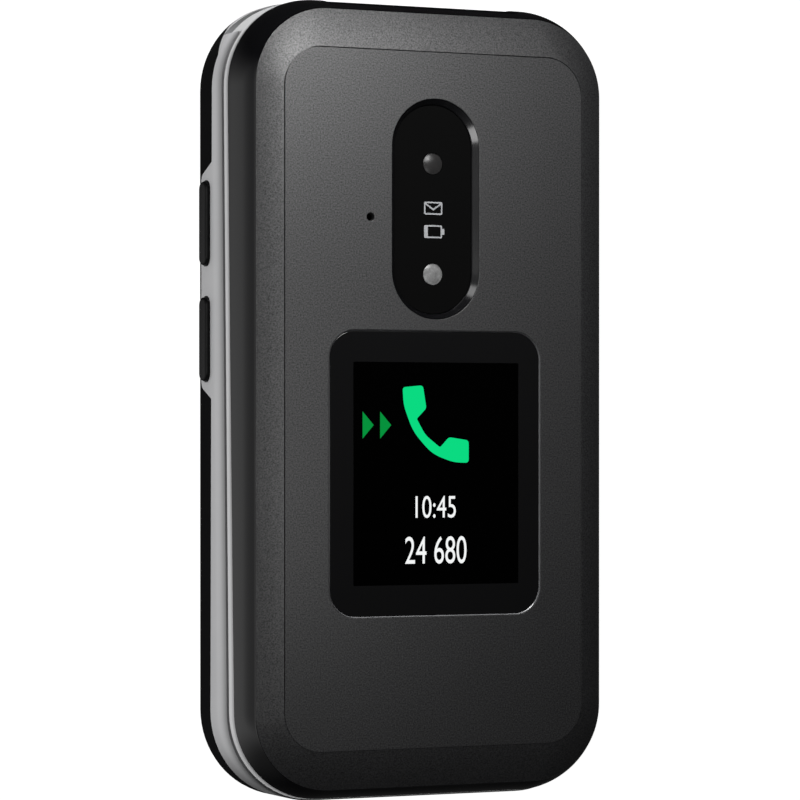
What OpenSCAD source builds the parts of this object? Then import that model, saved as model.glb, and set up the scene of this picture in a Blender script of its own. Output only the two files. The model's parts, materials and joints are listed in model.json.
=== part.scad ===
// Flip phone, closed, lying on its back.
// +Z points out of the outer display, +Y towards the hinge, and the origin is the middle
// of the back. The two halves meet in a plane that falls towards the hinge end.

/* [Phone] */
// Length from the free end to the hinge end
phone_l = 105.6; // [103:0.2:110]
// Width across the lower half
phone_w = 54; // [52:0.5:58]
// Thickness when closed
phone_t = 19; // [18.8:0.1:20]
// Corner radius seen from the front
corner_r = 11.8; // [11.4:0.1:12.4]
// Height of the parting plane at the hinge end
seam_hinge_z = 10.3; // [10.2:0.1:10.6]
// Height of the parting plane at the free end
seam_free_z = 12.5; // [12.3:0.1:12.8]
// Gap between the closed halves
seam_gap = 0.4; // [0.3:0.05:0.5]

/* [Lower half] */
// Wall of the battery cover
cover_wall = 1.2; // [1:0.1:1.4]
// Radius of the back's long edge
back_edge_r = 3.7; // [3:0.1:4.5]
// Height of the battery cover at the hinge end
cover_hinge_z = 7.1; // [6.8:0.1:7.4]
// Height of the battery cover at the free end
cover_free_z = 6.4; // [6.2:0.1:6.8]
// Wall of the silver band
band_wall = 1.6; // [1.4:0.1:1.8]
// Depth of the keypad below the band's rim
deck_recess = 0.7; // [0.6:0.05:0.9]
// Thickness of the keypad plate
plate_t = 1.2; // [1:0.1:1.4]
// Thickness of the battery
battery_t = 4.1; // [3.9:0.1:4.2]
// Distance of the battery from the phone's sides
battery_side = 7; // [6.5:0.5:9]
// Distance of the battery from the free end
battery_foot = 12.8; // [12:0.2:14]
// Thickness of the circuit boards
board_t = 0.8; // [0.6:0.1:1]

/* [Keys] */
// Margin between the number keys and the phone's sides
key_margin = 3.5; // [3.4:0.1:4]
// Gap between two columns of number keys
column_gap = 1; // [0.9:0.1:1.5]
// Gap between two rows of number keys
row_gap = 1.6; // [1.4:0.1:2.4]
// Margin between the last row and the free end
row_margin = 16.1; // [15.9:0.1:17]
// Gap between the direction key and the first row
ring_gap = 6.3; // [6:0.1:7]
// Margin between the direction key and the hinge end
ring_margin = 16.8; // [16.6:0.1:17.4]
// Margin between the direction key and the phone's sides
ring_side = 15.5; // [15:0.5:16.5]
// Length of the direction key
ring_l = 20; // [18:0.5:21]
// Travel of a key
key_travel = 0.3; // [0.2:0.05:0.35]
// Clearance round a key
key_clear = 0.15; // [0.1:0.05:0.25]
// Length of a volume key
volume_l = 11.1; // [10:0.1:12]
// Thickness of a volume key
volume_t = 2.6; // [2.4:0.1:2.8]
// Distance between the two volume keys
volume_gap = 4.2; // [3.5:0.1:5]
// Distance of the middle between the volume keys from the hinge end
volume_setback = 37.1; // [35:0.1:39]
// Height of a volume key's middle above the back
volume_z = 5; // [4.9:0.1:5.2]
// How far a volume key stands out of the band
volume_proud = 0.6; // [0.4:0.05:0.7]

/* [Hinge] */
// Distance of the hinge axis from the hinge end
axis_setback = 4.3; // [4.25:0.05:4.5]
// Height of the hinge axis above the back
axis_z = 12; // [11.8:0.1:12.2]
// Radius of the hinge barrel and of the knuckles beside it
barrel_r = 4.1; // [3.9:0.05:4.15]
// Length of the barrel
barrel_l = 27.4; // [24:0.2:30]
// Running clearance of the hinge's turning faces
hinge_clear = 0.15; // [0.12:0.01:0.2]
// Radius of the hinge cartridge
cartridge_r = 2.6; // [2.3:0.05:2.8]
// Radius of the hollow pivot
pivot_r = 2; // [1.8:0.05:2.2]
// Radial clearance of the shafts that turn
shaft_clear = 0.05; // [0.03:0.01:0.08]

/* [Flip] */
// How far the glossy wall leans out between its rim and its foot
wall_flare = 1.65; // [1.4:0.05:1.9]
// Height of the silver strip at the foot of the wall
strip_h = 1.3; // [1.1:0.1:1.6]
// Thickness of the glossy wall at its foot
wall_t = 1.2; // [1.1:0.05:1.3]
// Fall of the cover's border from the crease to the rim
border_drop = 1.35; // [1.2:0.05:1.5]
// Width of the border along the sides
border_side = 3.4; // [3:0.1:4]
// Width of the border along the ends
border_end = 5.1; // [4.6:0.1:5.6]
// Thickness of the cover
cover_t = 1.2; // [1:0.1:1.3]

/* [Outer display] */
// Distance of the glass from the phone's sides
window_side = 11.5; // [10.5:0.5:12.5]
// Distance of the glass from the free end
window_foot_gap = 24.3; // [23:0.1:26]
// Corner radius of the glass
window_r = 3.8; // [3:0.1:5]

/* [Camera] */
// Width of the camera's long round opening
pill_w = 12.8; // [12:0.2:14]
// Length of the opening
pill_l = 29.1; // [27:0.1:30]
// Distance of the opening from the hinge end
pill_setback = 13.1; // [12:0.1:14]
// Gap between the opening and the outer display's glass
pill_gap = 1.5; // [1.4:0.1:3]
// Depth of the camera window below the front
pill_depth = 1; // [0.8:0.05:1.1]
// Distance of the lens above the opening's middle
lens_up = 6.05; // [5:0.05:7]
// Distance of the lamp below the opening's middle
lamp_down = 8.55; // [7.5:0.05:9]
// Radius of the lens
lens_r = 1.4; // [1.2:0.05:1.6]

/* [Hidden] */
$fn = 64;

// Fit between faces of one assembly
fit = 0.05;
// Larger than any part, for half-spaces
far = 130;

half_w = phone_w / 2;
half_l = phone_l / 2;
seam_z = (seam_hinge_z + seam_free_z) / 2;
seam_tilt = atan2(seam_free_z - seam_hinge_z, phone_l);
axis_y = half_l - axis_setback;
barrel_end = barrel_l / 2;

// Heights in the tilted frame of the parting plane
rim_top = -seam_gap / 2;
deck_top = rim_top - deck_recess;
deck_foot = deck_top - plate_t;
key_top = rim_top - 0.1;
flange_t = 0.45;
flange_top = deck_foot - fit;
plunger_foot = flange_top - flange_t - 0.3;
dome_top = plunger_foot - key_travel - 0.04;
dome_t = 0.25;
board_top = dome_top - dome_t - 0.05;

// Flip outline, a hair inside the lower half's
flip_w = phone_w - 0.3;
flip_l = phone_l - 0.3;
flip_foot = seam_gap / 2;
strip_top = flip_foot + strip_h;
rim_z = phone_t - border_drop;
wall_top = rim_z - 0.15;
wall_foot_z = axis_z;
rim_w = flip_w - 2 * wall_flare;
rim_l = flip_l - 2 * wall_flare;
rim_r = corner_r - wall_flare;

// The scoop lets the flip's hinge end swing down behind the lower half
scoop_r = phone_t - axis_z + hinge_clear;
tuck_r = rim_z - axis_z + hinge_clear;
scoop_back = 1.9;
corner_y = half_l - corner_r;
scoop_end = half_w - corner_r + sqrt(pow(corner_r, 2) - pow(axis_y - corner_y, 2)) + 0.1;
knuckle_end = scoop_end - 0.3;
knuckle_start = barrel_end + 0.2;
deck_end_y = axis_y - tuck_r - 0.4;
bezel_end_y = axis_y - barrel_r - hinge_clear - 0.3;

// Battery bay and floor of the chassis
battery_w = phone_w - 2 * battery_side;
battery_l = half_l - 0.8;
battery_y = -half_l + battery_foot + battery_l / 2;
back_gap = 0.1;
chassis_z = cover_wall + back_gap;
bay_top = chassis_z + battery_t + 0.1;
floor_z = bay_top + 0.6;
chassis_inset = band_wall + 0.1;
chassis_w = phone_w - 2 * chassis_inset;
chassis_l = phone_l - 2 * chassis_inset;
chassis_r = corner_r - chassis_inset;
chassis_wall = 1.2;
port_z = 8.5;
jack_x = half_w - 12;
jack_r = 1.8;
jack_body = [7, 14, 4.4];
usb_body = [9, 7.4, 3.2];
speaker = [18, 13, 3.3];
speaker_y = half_l - 22.8;
mic_x = -12;
mic_y = -half_l + 6;
// Screws of the lower half: place across and along the phone
base_screw_places = [for (x = [-1, 1], y = [-half_l + 6.8, deck_end_y - 3.8])
    [x * (half_w - 5.5), y]];
screw_z = chassis_z + 1;
// Posts that carry the main board
post_places = [for (s = [-1, 1], y = [-half_l + 16.8, -2]) [s * (half_w - 7), y]];
board_w = phone_w - 11;
board_foot_y = -half_l + 9.6;
// Number keys: columns across the phone, rows between the direction key and the free end
column_pitch = (phone_w - 2 * key_margin + column_gap) / 3;
number_w = column_pitch - column_gap;
rows_top = half_l - ring_margin - ring_l - ring_gap;
row_pitch = (rows_top + half_l - row_margin + row_gap) / 4;
number_l = row_pitch - row_gap;
first_row_y = rows_top - number_l / 2;
// Direction key and the keys beside it
ring_w = phone_w - 2 * ring_side;
ring_y = half_l - ring_margin - ring_l / 2;
side_w = ring_side - 5.5;
side_l = 8;
side_key_x = ring_w / 2 + 2.1 + side_w / 2;
key_r = 2.4;
volume_y = half_l - volume_setback;
function side_key_y(k) = ring_y + (k == 0 ? 5.4 : -5.4);
function number_x(i) = (i % 3 - 1) * column_pitch;
function number_y(i) = first_row_y - floor(i / 3) * row_pitch;
// Height of the parting plane at a place along the phone
function seam_at(y) = seam_z - y * tan(seam_tilt);

// Hinge parts along the axis, inside the barrel and the knuckles
cartridge_end = 0;
flex_start = 1;
flex_end = 6;
bush_start = flex_end + 0.3;
cam_head_end = -knuckle_end + 5.8;
bush_end = knuckle_end - 5.8;

cam_r = 1.85;

// Small parts' places
motor_x = half_w - 10;
sim_size = [14, 17, 1.3];
sim_place = [-half_w + 3.3 + sim_size[0] / 2, half_l - 25.8];
sim_foot = floor_z - 1.2;
contacts_l = 2.6;
contacts_y = battery_y + battery_l / 2 + 0.4 + contacts_l / 2;
board_end_y = deck_end_y - 2.5;
ok_w = 10.4;
ok_l = 8.4;
ok_r = 1.2;
ok_clear = 0.25;

// Flip parts, as heights in the tilted frame
bezel_t = 1.2;
glass_t = 0.8;
bezel_foot = flip_foot + 0.1;
bezel_boss_top = bezel_foot + bezel_t + 0.7;
inner_glass_foot = bezel_foot + 0.15;
inner_glass = [phone_w - 7, phone_l - 37.6];
inner_display = [inner_glass[0] - 2, inner_glass[1] - 7, 1.8];
inner_y = -half_l + 12.3 + inner_glass[1] / 2;
earpiece_y = inner_y + inner_glass[1] / 2 + 4.6;
flip_screw_places = [for (s = [-1, 1], e = [0, 1])
    [s * (half_w - 6.5 + 1.5 * e), e == 0 ? -half_l + 7.4 : half_l - 15]];
// Heights above the back
glass_top = phone_t - 0.3;
window_w = phone_w - 2 * window_side;
window_l = phone_l - pill_setback - pill_l - pill_gap - window_foot_gap;
window_y = -half_l + window_foot_gap + window_l / 2;
pill_y = half_l - pill_setback - pill_l / 2;
lens_y = pill_y + lens_up;
lamp_y = pill_y - lamp_down;
pill_floor = phone_t - pill_depth;
camera_foot = 14.7;
window_foot = pill_floor - 0.8;
ledge_z = 14.2;
crease_r = 5.3;
mic_hole = [-9.5, pill_y - 1.25];

// ---------- shapes ----------

// Flat rounded rectangle about the origin
module round_rect(w, l, r) {
    square([w - 2 * r, l], center = true);
    square([w, l - 2 * r], center = true);
    for (x = [-1, 1], y = [-1, 1]) translate([x * (w / 2 - r), y * (l / 2 - r)]) circle(r);
}

// Rounded rectangular plate between two heights
module plate(w, l, r, z0, z1) {
    translate([0, 0, z0]) linear_extrude(z1 - z0) round_rect(w, l, r);
}

// Box about the x and y origin between two heights
module slab(w, l, z0, z1) {
    translate([-w / 2, -l / 2, z0]) cube([w, l, z1 - z0]);
}

// Carries a side profile round a rounded rectangle. In the profile, x is measured outwards
// from the rectangle's edge and y is height.
module swept_round(w, l, r) {
    for (q = [0:3]) {
        a = q % 2 == 0 ? w : l;
        b = q % 2 == 0 ? l : w;
        rotate([0, 0, 90 * q]) {
            translate([a / 2 - r, b / 2 - r, 0])
                rotate_extrude(angle = 90) translate([r, 0]) children();
            if (b - 2 * r > 0.01)
                translate([a / 2, 0, 0]) rotate([90, 0, 0])
                    linear_extrude(b - 2 * r, center = true) children();
        }
    }
}

// Points of an arc from angle a0 to angle a1
function arc(cx, cy, r, a0, a1, steps) =
    [for (i = [0:steps]) let (a = a0 + (a1 - a0) * i / steps) [cx + r * cos(a), cy + r * sin(a)]];

// Bar from x = -depth to 0 whose lower outer corner is rounded
module rounded_side(depth, h, edge) {
    polygon(concat([[-depth, h], [-depth, 0]],
        arc(-edge, edge, edge, -90, 0, edge > 1 ? 8 : 3), [[0, h]]));
}

// Rounded rectangular block with its lower edge rounded. The swept side stops short of the
// corner's own axis, and the block in the middle laps over it.
module pan(w, l, r, h, edge) {
    lap = 0.1;
    swept_round(w, l, r) rounded_side(r - lap, h, edge);
    slab(w - 2 * r + 3 * lap, l - 2 * r + 3 * lap, 0, h);
}

// Rounded rectangular block with its upper edge rounded, its foot at z = 0
module pillow(w, l, r, h, edge) {
    translate([0, 0, h]) mirror([0, 0, 1]) pan(w, l, r, h, edge);
}

// Cylinder along x
module x_rod(r, x0, x1) {
    translate([x0, axis_y, axis_z]) rotate([0, 90, 0]) cylinder(r = r, h = x1 - x0);
}

// Everything below a plane given by its heights at the hinge end and at the free end
module below(hinge_z, free_z) {
    translate([0, 0, (hinge_z + free_z) / 2])
        rotate([-atan2(free_z - hinge_z, phone_l), 0, 0])
            translate([-far, -far, -far]) cube([2 * far, 2 * far, far]);
}

// The tilted frame of the parting plane
module on_seam() {
    translate([0, 0, seam_z]) rotate([-seam_tilt, 0, 0]) children();
}

// Everything below a height of the tilted frame
module below_seam(h) {
    below(seam_hinge_z + h, seam_free_z + h);
}

// Everything on the hinge side of a place along the phone
module hinge_side(y) {
    translate([-far, y, -far]) cube([2 * far, far, 2 * far]);
}

// ---------- lower half ----------

// Outer form of the lower half, taller than the parting plane
module base_blank() {
    pan(phone_w, phone_l, corner_r, seam_free_z + 1, back_edge_r);
}

// Room for the flip's hinge end as it turns
module hinge_scoop() {
    intersection() {
        x_rod(scoop_r, -scoop_end, scoop_end);
        hinge_side(axis_y - scoop_back);
    }
    x_rod(tuck_r, -scoop_end, -barrel_end);
    x_rod(tuck_r, barrel_end, scoop_end);
}

// Outline of the band's tab round the volume keys, seen from the side
module tab_outline(grow) {
    half_tab = volume_l + volume_gap / 2 + 1.2;
    tab_foot = volume_z - volume_t / 2 - 0.45;
    tab_r = 1.4 + grow;
    translate([volume_y, 0]) hull() {
        for (s = [-1, 1]) translate([s * (half_tab - 1.4), tab_foot + 1.4]) circle(tab_r);
        translate([-half_tab - 1.3 - grow, cover_hinge_z]) square([2 * half_tab + 2.6 + 2 * grow, 0.6]);
    }
}

module band_tab(grow = 0) {
    translate([-half_w - 1, 0, 0]) rotate([90, 0, 90]) linear_extrude(6) tab_outline(grow);
}

// Volume key seen from the side
module volume_outline(grow) {
    for (s = [-1, 1]) translate([volume_y + s * (volume_l + volume_gap) / 2, volume_z])
        round_rect(volume_l + 2 * grow, volume_t + 2 * grow, 1.1 + grow);
}

// Openings of the two sockets in the free end
module port_openings(grow = 0) {
    translate([0, -half_l - 1, port_z]) rotate([-90, 0, 0]) linear_extrude(8)
        round_rect(usb_body[0] + 0.2 + 2 * grow, usb_body[2] + 0.2 + 2 * grow, 1.6 + grow);
    translate([jack_x, -half_l - 1, port_z]) rotate([-90, 0, 0])
        cylinder(r = jack_r + 0.2 + grow, h = 8);
}

module battery_cover() color("#161616") {
    difference() {
        intersection() {
            base_blank();
            below(cover_hinge_z, cover_free_z);
        }
        translate([0, 0, cover_wall])
            pan(phone_w - 2 * cover_wall, phone_l - 2 * cover_wall, corner_r - cover_wall,
                seam_free_z, back_edge_r - cover_wall);
        hinge_scoop();
        band_tab(grow = 0.1);
        // Loudspeaker grille
        for (i = [-3:3]) translate([i * 2.2, speaker_y, -1]) linear_extrude(4)
            round_rect(1, 7 - abs(i) * 0.6, 0.49);
        // Nail notch at the free end
        translate([0, -half_l - 0.6, cover_free_z]) rotate([0, 90, 0])
            cylinder(r = 1.6, h = 12, center = true);
    }
}

module mid_frame() color("#b4b6b8") {
    difference() {
        intersection() {
            base_blank();
            union() {
                difference() {
                    below_seam(rim_top);
                    below(cover_hinge_z + fit, cover_free_z + fit);
                }
                band_tab();
            }
        }
        plate(phone_w - 2 * band_wall, phone_l - 2 * band_wall, corner_r - band_wall, -1, 20);
        hinge_scoop();
        translate([-half_w - 1, 0, 0]) rotate([90, 0, 90]) linear_extrude(6)
            volume_outline(key_clear);
        port_openings();
    }
}

// Inner chassis: battery bay below, board bay above, hinge barrel at the end
module base_chassis() color("#1c1c1e") {
    difference() {
        union() {
            intersection() {
                translate([0, 0, chassis_z])
                    pan(chassis_w, chassis_l, chassis_r, seam_free_z, back_edge_r - cover_wall);
                union() {
                    difference() {
                        below_seam(deck_foot - fit);
                        board_bay();
                    }
                    for (p = base_screw_places) translate([p[0], p[1], 0])
                        cylinder(r = 2.3, h = seam_at(p[1]) + deck_foot - fit);
                    intersection() {
                        below_seam(rim_top);
                        hinge_side(deck_end_y);
                    }
                }
            }
            x_rod(barrel_r, -barrel_end, barrel_end);
            for (p = post_places) translate([p[0], p[1], floor_z - 0.3]) {
                cylinder(r = 1.7, h = seam_at(p[1]) + board_top - board_t - 0.1 - floor_z + 0.3);
                cylinder(r = 0.85, h = seam_at(p[1]) + board_top - 0.1 - floor_z + 0.3);
            }
        }
        difference() {
            hinge_scoop();
            x_rod(barrel_r, -barrel_end, barrel_end);
        }
        battery_bay();
        back_pockets();
        barrel_bores();
        flex_channel(0.45, flex_start, flex_end);
        port_openings(grow = 0.6);
        jack_envelope(0.1);
        usb_envelope(0.1);
        // Room for the volume keys' flanges and switches
        translate([-half_w, volume_y - volume_l - volume_gap / 2 - 1, volume_z - volume_t / 2 - 1])
            cube([chassis_inset + 0.75, 2 * volume_l + volume_gap + 2, volume_t + 2]);
        for (p = base_screw_places) translate([p[0], p[1], 0]) {
            cylinder(r = 0.85, h = 20);
            cylinder(r = 1.9, h = screw_z + 1.2);
        }
    }
}

module board_bay() {
    bay_foot_y = -half_l + chassis_inset + chassis_wall;
    intersection() {
        plate(chassis_w - 2 * chassis_wall, chassis_l - 2 * chassis_wall,
            chassis_r - chassis_wall, floor_z, 20);
        translate([-half_w, bay_foot_y, 0]) cube([phone_w, deck_end_y - 1 - bay_foot_y, 20]);
    }
    // Well of the card holder in the bay's floor
    translate([sim_place[0], sim_place[1], 0])
        slab(sim_size[0] + 0.4, sim_size[1] + 0.4, sim_foot, 8);
}

module barrel_bores() {
    x_rod(cartridge_r + fit, -barrel_end - 1, cartridge_end + 0.1);
    x_rod(pivot_r + shaft_clear, flex_end + 0.2, barrel_end + 1);
    x_rod(1.3, flex_start - 0.1, flex_end + 0.3);
}

// Strip that follows the hinge flex from the axis down to the main board
module flex_channel(t, x0, x1) {
    bay_y = deck_end_y - 1.2;
    route = [[axis_y + 0.3, axis_z + 0.2], [axis_y - 4.4, axis_z - 3.6],
        [bay_y, seam_at(bay_y) + board_top + 0.3], [bay_y - 3.3, seam_at(bay_y - 3.3) + board_top + 0.22]];
    translate([x0, 0, 0]) rotate([90, 0, 90]) linear_extrude(x1 - x0)
        polygon(concat([for (p = route) [p[0], p[1] + t / 2]],
            [for (i = [len(route) - 1:-1:0]) [route[i][0], route[i][1] - t / 2]]));
}

module battery_bay() {
    translate([0, battery_y, 0]) slab(battery_w + 0.6, battery_l + 0.6, 0, bay_top);
    translate([0, contacts_y, 0]) slab(9, contacts_l + 0.2, 0, bay_top);
}

// Pockets of the loudspeaker and the vibration motor, open to the back
module back_pockets() {
    translate([0, speaker_y, 0])
        slab(speaker[0] + 0.4, speaker[1] + 0.4, 0, chassis_z + speaker[2] + 0.1);
    translate([motor_x, speaker_y, -1]) cylinder(r = 4.2, h = chassis_z + 4.4);
}

module jack_envelope(grow) {
    translate([jack_x, -half_l + jack_body[1] / 2, 0])
        slab(jack_body[0] + 2 * grow, jack_body[1] + 2 * grow,
            port_z - jack_body[2] / 2 - grow, port_z + jack_body[2] / 2 + grow);
}

module usb_envelope(grow) {
    translate([0, -half_l + usb_body[1] / 2, 0])
        slab(usb_body[0] + 2 * grow, usb_body[1] + 2 * grow,
            port_z - usb_body[2] / 2 - grow, port_z + usb_body[2] / 2 + grow);
}

module keypad_plate() color("#1a1a1c") {
    difference() {
        on_seam() difference() {
            plate(chassis_w, chassis_l, chassis_r, deck_foot, deck_top);
            translate([0, ring_y]) linear_extrude(20, center = true)
                round_rect(ring_w + 2 * key_clear, ring_l + 2 * key_clear, 8 + key_clear);
            for (s = [-1, 1], k = [0, 1]) translate([s * side_key_x, side_key_y(k)])
                linear_extrude(20, center = true)
                    round_rect(side_w + 2 * key_clear, side_l + 2 * key_clear, key_r + key_clear);
            for (i = [0:11]) translate([number_x(i), number_y(i)])
                linear_extrude(20, center = true)
                    round_rect(number_w + 2 * key_clear, number_l + 2 * key_clear,
                        key_r + key_clear);
            translate([mic_x, mic_y]) cylinder(r = 0.5, h = 20, center = true);
        }
        hinge_side(deck_end_y - fit);
        jack_envelope(0.1);
        usb_envelope(0.1);
        for (p = base_screw_places) translate([p[0], p[1], 0])
            cylinder(r = 0.85, h = seam_at(p[1]) + deck_foot + 0.8);
    }
}

module battery() color("#8c9298") {
    translate([0, battery_y, 0]) difference() {
        plate(battery_w, battery_l, 1.5, chassis_z + fit, chassis_z + fit + battery_t);
        // Nail notch in the end away from the contacts
        translate([0, -battery_l / 2 - 0.6, chassis_z]) cylinder(r = 3, h = 1);
    }
}

module battery_contacts() color("#c9a24a") {
    translate([0, contacts_y, 0]) {
        slab(8.6, contacts_l, chassis_z + 0.3, bay_top - 0.1);
        // Spring blades that meet the battery's end
        for (x = [-2.6:2.6:2.6])
            translate([x - 0.5, -contacts_l / 2 - 0.35, chassis_z + 1.2]) cube([1, 0.6, 2]);
    }
}

// Circuit board under the keypad, notched for the headphone jack
module main_board() color("#1f5a36") {
    on_seam() difference() {
        translate([0, (board_end_y + board_foot_y) / 2, 0])
            plate(board_w, board_end_y - board_foot_y, 2, board_top - board_t, board_top);
        translate([jack_x - jack_body[0] / 2 - 0.6, -half_l, -20])
            cube([20, jack_body[1] + 1, 40]);
        for (p = post_places) translate([p[0], p[1], -10]) cylinder(r = 1, h = 20);
        translate([0, 0, -10]) for (p = base_screw_places) translate([p[0], p[1], 0])
            cylinder(r = 2.6, h = 20);
    }
}

// Sheet of snap domes, one below each plunger
module key_domes() color("#c9b37a") {
    on_seam() {
        translate([0, 0, board_top]) difference() {
            translate([0, (board_end_y + board_foot_y + 2.2) / 2, 0]) linear_extrude(0.1)
                round_rect(board_w - 1, board_end_y - board_foot_y - 5.2, 2);
            translate([jack_x - jack_body[0] / 2 - 0.6, -half_l, -1])
                cube([20, jack_body[1] + 1, 4]);
            translate([flex_start - 0.6, board_end_y - 4, -1])
                cube([flex_end - flex_start + 1.2, 9, 4]);
            for (p = base_screw_places) translate([p[0], p[1], -1]) cylinder(r = 2.6, h = 4);
        }
        for (i = [0:11]) translate([number_x(i), number_y(i)]) dome();
        for (s = [-1, 1], k = [0, 1]) translate([s * side_key_x, side_key_y(k)]) dome();
        translate([0, ring_y]) {
            dome();
            for (a = [0:3]) rotate(90 * a) translate([ring_plunger(a), 0]) dome();
        }
    }
}

module dome() {
    translate([0, 0, board_top + 0.05]) cylinder(r1 = 2.1, r2 = 1.3, h = dome_top - board_top - 0.05);
}

module shield_can() color("#a9acaf") {
    w = board_w - 9;
    l = 24;
    top = board_top - board_t;
    on_seam() translate([0, 2 - l / 2 - 0.5]) difference() {
        plate(w, l, 1, top - 0.7, top);
        plate(w - 0.6, l - 0.6, 0.8, top - 0.55, top + 1);
    }
}

module loudspeaker() color("#3a3b3d") {
    translate([0, speaker_y, 0]) difference() {
        plate(speaker[0], speaker[1], 3, chassis_z + fit, chassis_z + fit + speaker[2]);
        translate([0, 0, chassis_z - 1]) linear_extrude(1.5)
            round_rect(speaker[0] - 3, speaker[1] - 3, 3);
    }
    translate([0, speaker_y, chassis_z + 0.2]) cylinder(r1 = 2.6, r2 = 3.4, h = 0.5);
}

module vibration_motor() color("#a7aaad") {
    translate([motor_x, speaker_y, chassis_z + fit]) {
        cylinder(r = 4, h = 2.7);
        translate([0, 0, 2.7]) cylinder(r = 1.1, h = 0.4);
    }
}

module sim_holder() color("#a9acaf") {
    translate([sim_place[0], sim_place[1], 0]) difference() {
        slab(sim_size[0], sim_size[1], sim_foot + fit, sim_foot + sim_size[2]);
        translate([0, 2, 0]) slab(sim_size[0] - 1.6, sim_size[1] - 1, sim_foot + 0.4,
            sim_foot + sim_size[2] - 0.35);
    }
}

module usb_port() color("#b9bcbf") {
    difference() {
        translate([0, -half_l + 0.3, port_z]) rotate([-90, 0, 0])
            linear_extrude(usb_body[1] - 0.3) round_rect(usb_body[0], usb_body[2], 1.5);
        translate([0, -half_l, port_z]) rotate([-90, 0, 0])
            linear_extrude(usb_body[1] - 1) round_rect(usb_body[0] - 0.6, usb_body[2] - 0.6, 1.25);
    }
    // Tongue
    translate([-3.3, -half_l + 1, port_z - 0.35]) cube([6.6, usb_body[1] - 1.5, 0.7]);
}

module headphone_jack() color("#2a2a2c") {
    difference() {
        union() {
            translate([jack_x, -half_l + (2.4 + jack_body[1]) / 2, 0])
                slab(jack_body[0], jack_body[1] - 2.4, port_z - jack_body[2] / 2,
                    port_z + jack_body[2] / 2);
            translate([jack_x, -half_l + 0.2, port_z]) rotate([-90, 0, 0])
                cylinder(r = jack_r + 0.15, h = 3);
        }
        translate([jack_x, -half_l, port_z]) rotate([-90, 0, 0])
            cylinder(r = jack_r, h = jack_body[1] - 1);
    }
}

module microphone() color("#a9acaf") {
    on_seam() translate([mic_x, mic_y, deck_foot - fit - 1.1]) difference() {
        cylinder(r = 2, h = 1.1);
        translate([0, 0, 0.6]) cylinder(r = 0.5, h = 1);
    }
}

// Folded antenna strip at the free end, beside the headphone jack
module antenna() color("#c9a24a") {
    w = phone_w - 29;
    translate([-5.7, -half_l + 6.7, floor_z]) difference() {
        slab(w, 6, 0, 0.25);
        for (i = [-1:1]) translate([i * 0.3 * w, i % 2 == 0 ? 1 : -1, 0]) slab(5, 5, -1, 1);
    }
}

module base_screws() color("#8f9296") {
    for (p = base_screw_places) translate([p[0], p[1], screw_z]) difference() {
        union() {
            cylinder(r = 1.8, h = 1.15);
            cylinder(r = 0.8, h = seam_at(p[1]) + deck_foot + 0.7 - screw_z);
        }
        translate([-1.1, -0.2, -1]) cube([2.2, 0.4, 1.5]);
        translate([-0.2, -1.1, -1]) cube([0.4, 2.2, 1.5]);
    }
}

// ---------- keys ----------

// A key: a pillow cap, a flange that the plate holds down and a plunger over its dome
module key(w, l, r) {
    plate(w + 0.8, l + 0.8, r, flange_top - flange_t, flange_top);
    translate([0, 0, flange_top - 0.1]) pillow(w, l, r, key_top - flange_top + 0.1, 0.4);
    translate([0, 0, plunger_foot]) cylinder(r = 1.2, h = flange_top - plunger_foot);
}

module number_key(i) color("#26272a") {
    on_seam() translate([number_x(i), number_y(i), 0]) key(number_w, number_l, key_r);
}

module side_key(s, k, shade) color(shade) {
    on_seam() translate([s * side_key_x, side_key_y(k), 0]) key(side_w, side_l, key_r);
}

function ring_plunger(a) = a % 2 == 0 ? (ring_w + ok_w) / 4 : (ring_l + ok_l) / 4;

module direction_ring() color("#9a9c9f") {
    on_seam() translate([0, ring_y, 0]) difference() {
        union() {
            translate([0, 0, flange_top - 0.1])
                pillow(ring_w, ring_l, 8, key_top - flange_top + 0.1, 0.4);
            plate(ring_w + 0.8, ring_l + 0.8, 8, flange_top - flange_t, flange_top);
            for (a = [0:3]) rotate([0, 0, 90 * a]) translate([ring_plunger(a), 0, plunger_foot])
                cylinder(r = 1, h = flange_top - plunger_foot);
        }
        plate(ok_w + 2 * ok_clear, ok_l + 2 * ok_clear, ok_r + ok_clear, -20, 20);
    }
}

module ok_key() color("#26272a") {
    on_seam() translate([0, ring_y, 0]) {
        translate([0, 0, flange_top - flange_t])
            pillow(ok_w, ok_l, ok_r, key_top - flange_top + flange_t, 0.4);
        translate([0, 0, plunger_foot]) cylinder(r = 1.2, h = flange_top - plunger_foot);
    }
}

module volume_key(s) color("#141414") {
    y = volume_y + s * (volume_l + volume_gap) / 2;
    cap_t = volume_proud + band_wall;
    translate([-half_w - volume_proud, y, volume_z]) rotate([0, 90, 0]) {
        pan(volume_t, volume_l, 1.1, cap_t + 0.2, 0.45);
        plate(volume_t + 0.8, volume_l + 0.8, 1.1, cap_t + fit, cap_t + 0.5);
    }
}

// ---------- flip ----------

// Side profile of the flip's wall: upright at the foot, leaning in towards the rim
module flip_side(depth, foot) {
    h = wall_top - wall_foot_z;
    bow_r = (pow(wall_flare, 2) + pow(h, 2)) / (2 * wall_flare);
    polygon(concat([[-depth, wall_top], [-depth, foot], [0, foot]],
        arc(-bow_r, wall_foot_z, bow_r, 0, asin(h / bow_r), 8)));
}

// Outer form of the flip up to its rim
module flip_blank() {
    lap = 0.1;
    swept_round(flip_w, flip_l, corner_r) flip_side(corner_r - lap, axis_z - barrel_r - 1);
    slab(flip_w - 2 * corner_r + 3 * lap, flip_l - 2 * corner_r + 3 * lap, axis_z - barrel_r - 1,
        wall_top);
}

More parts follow.
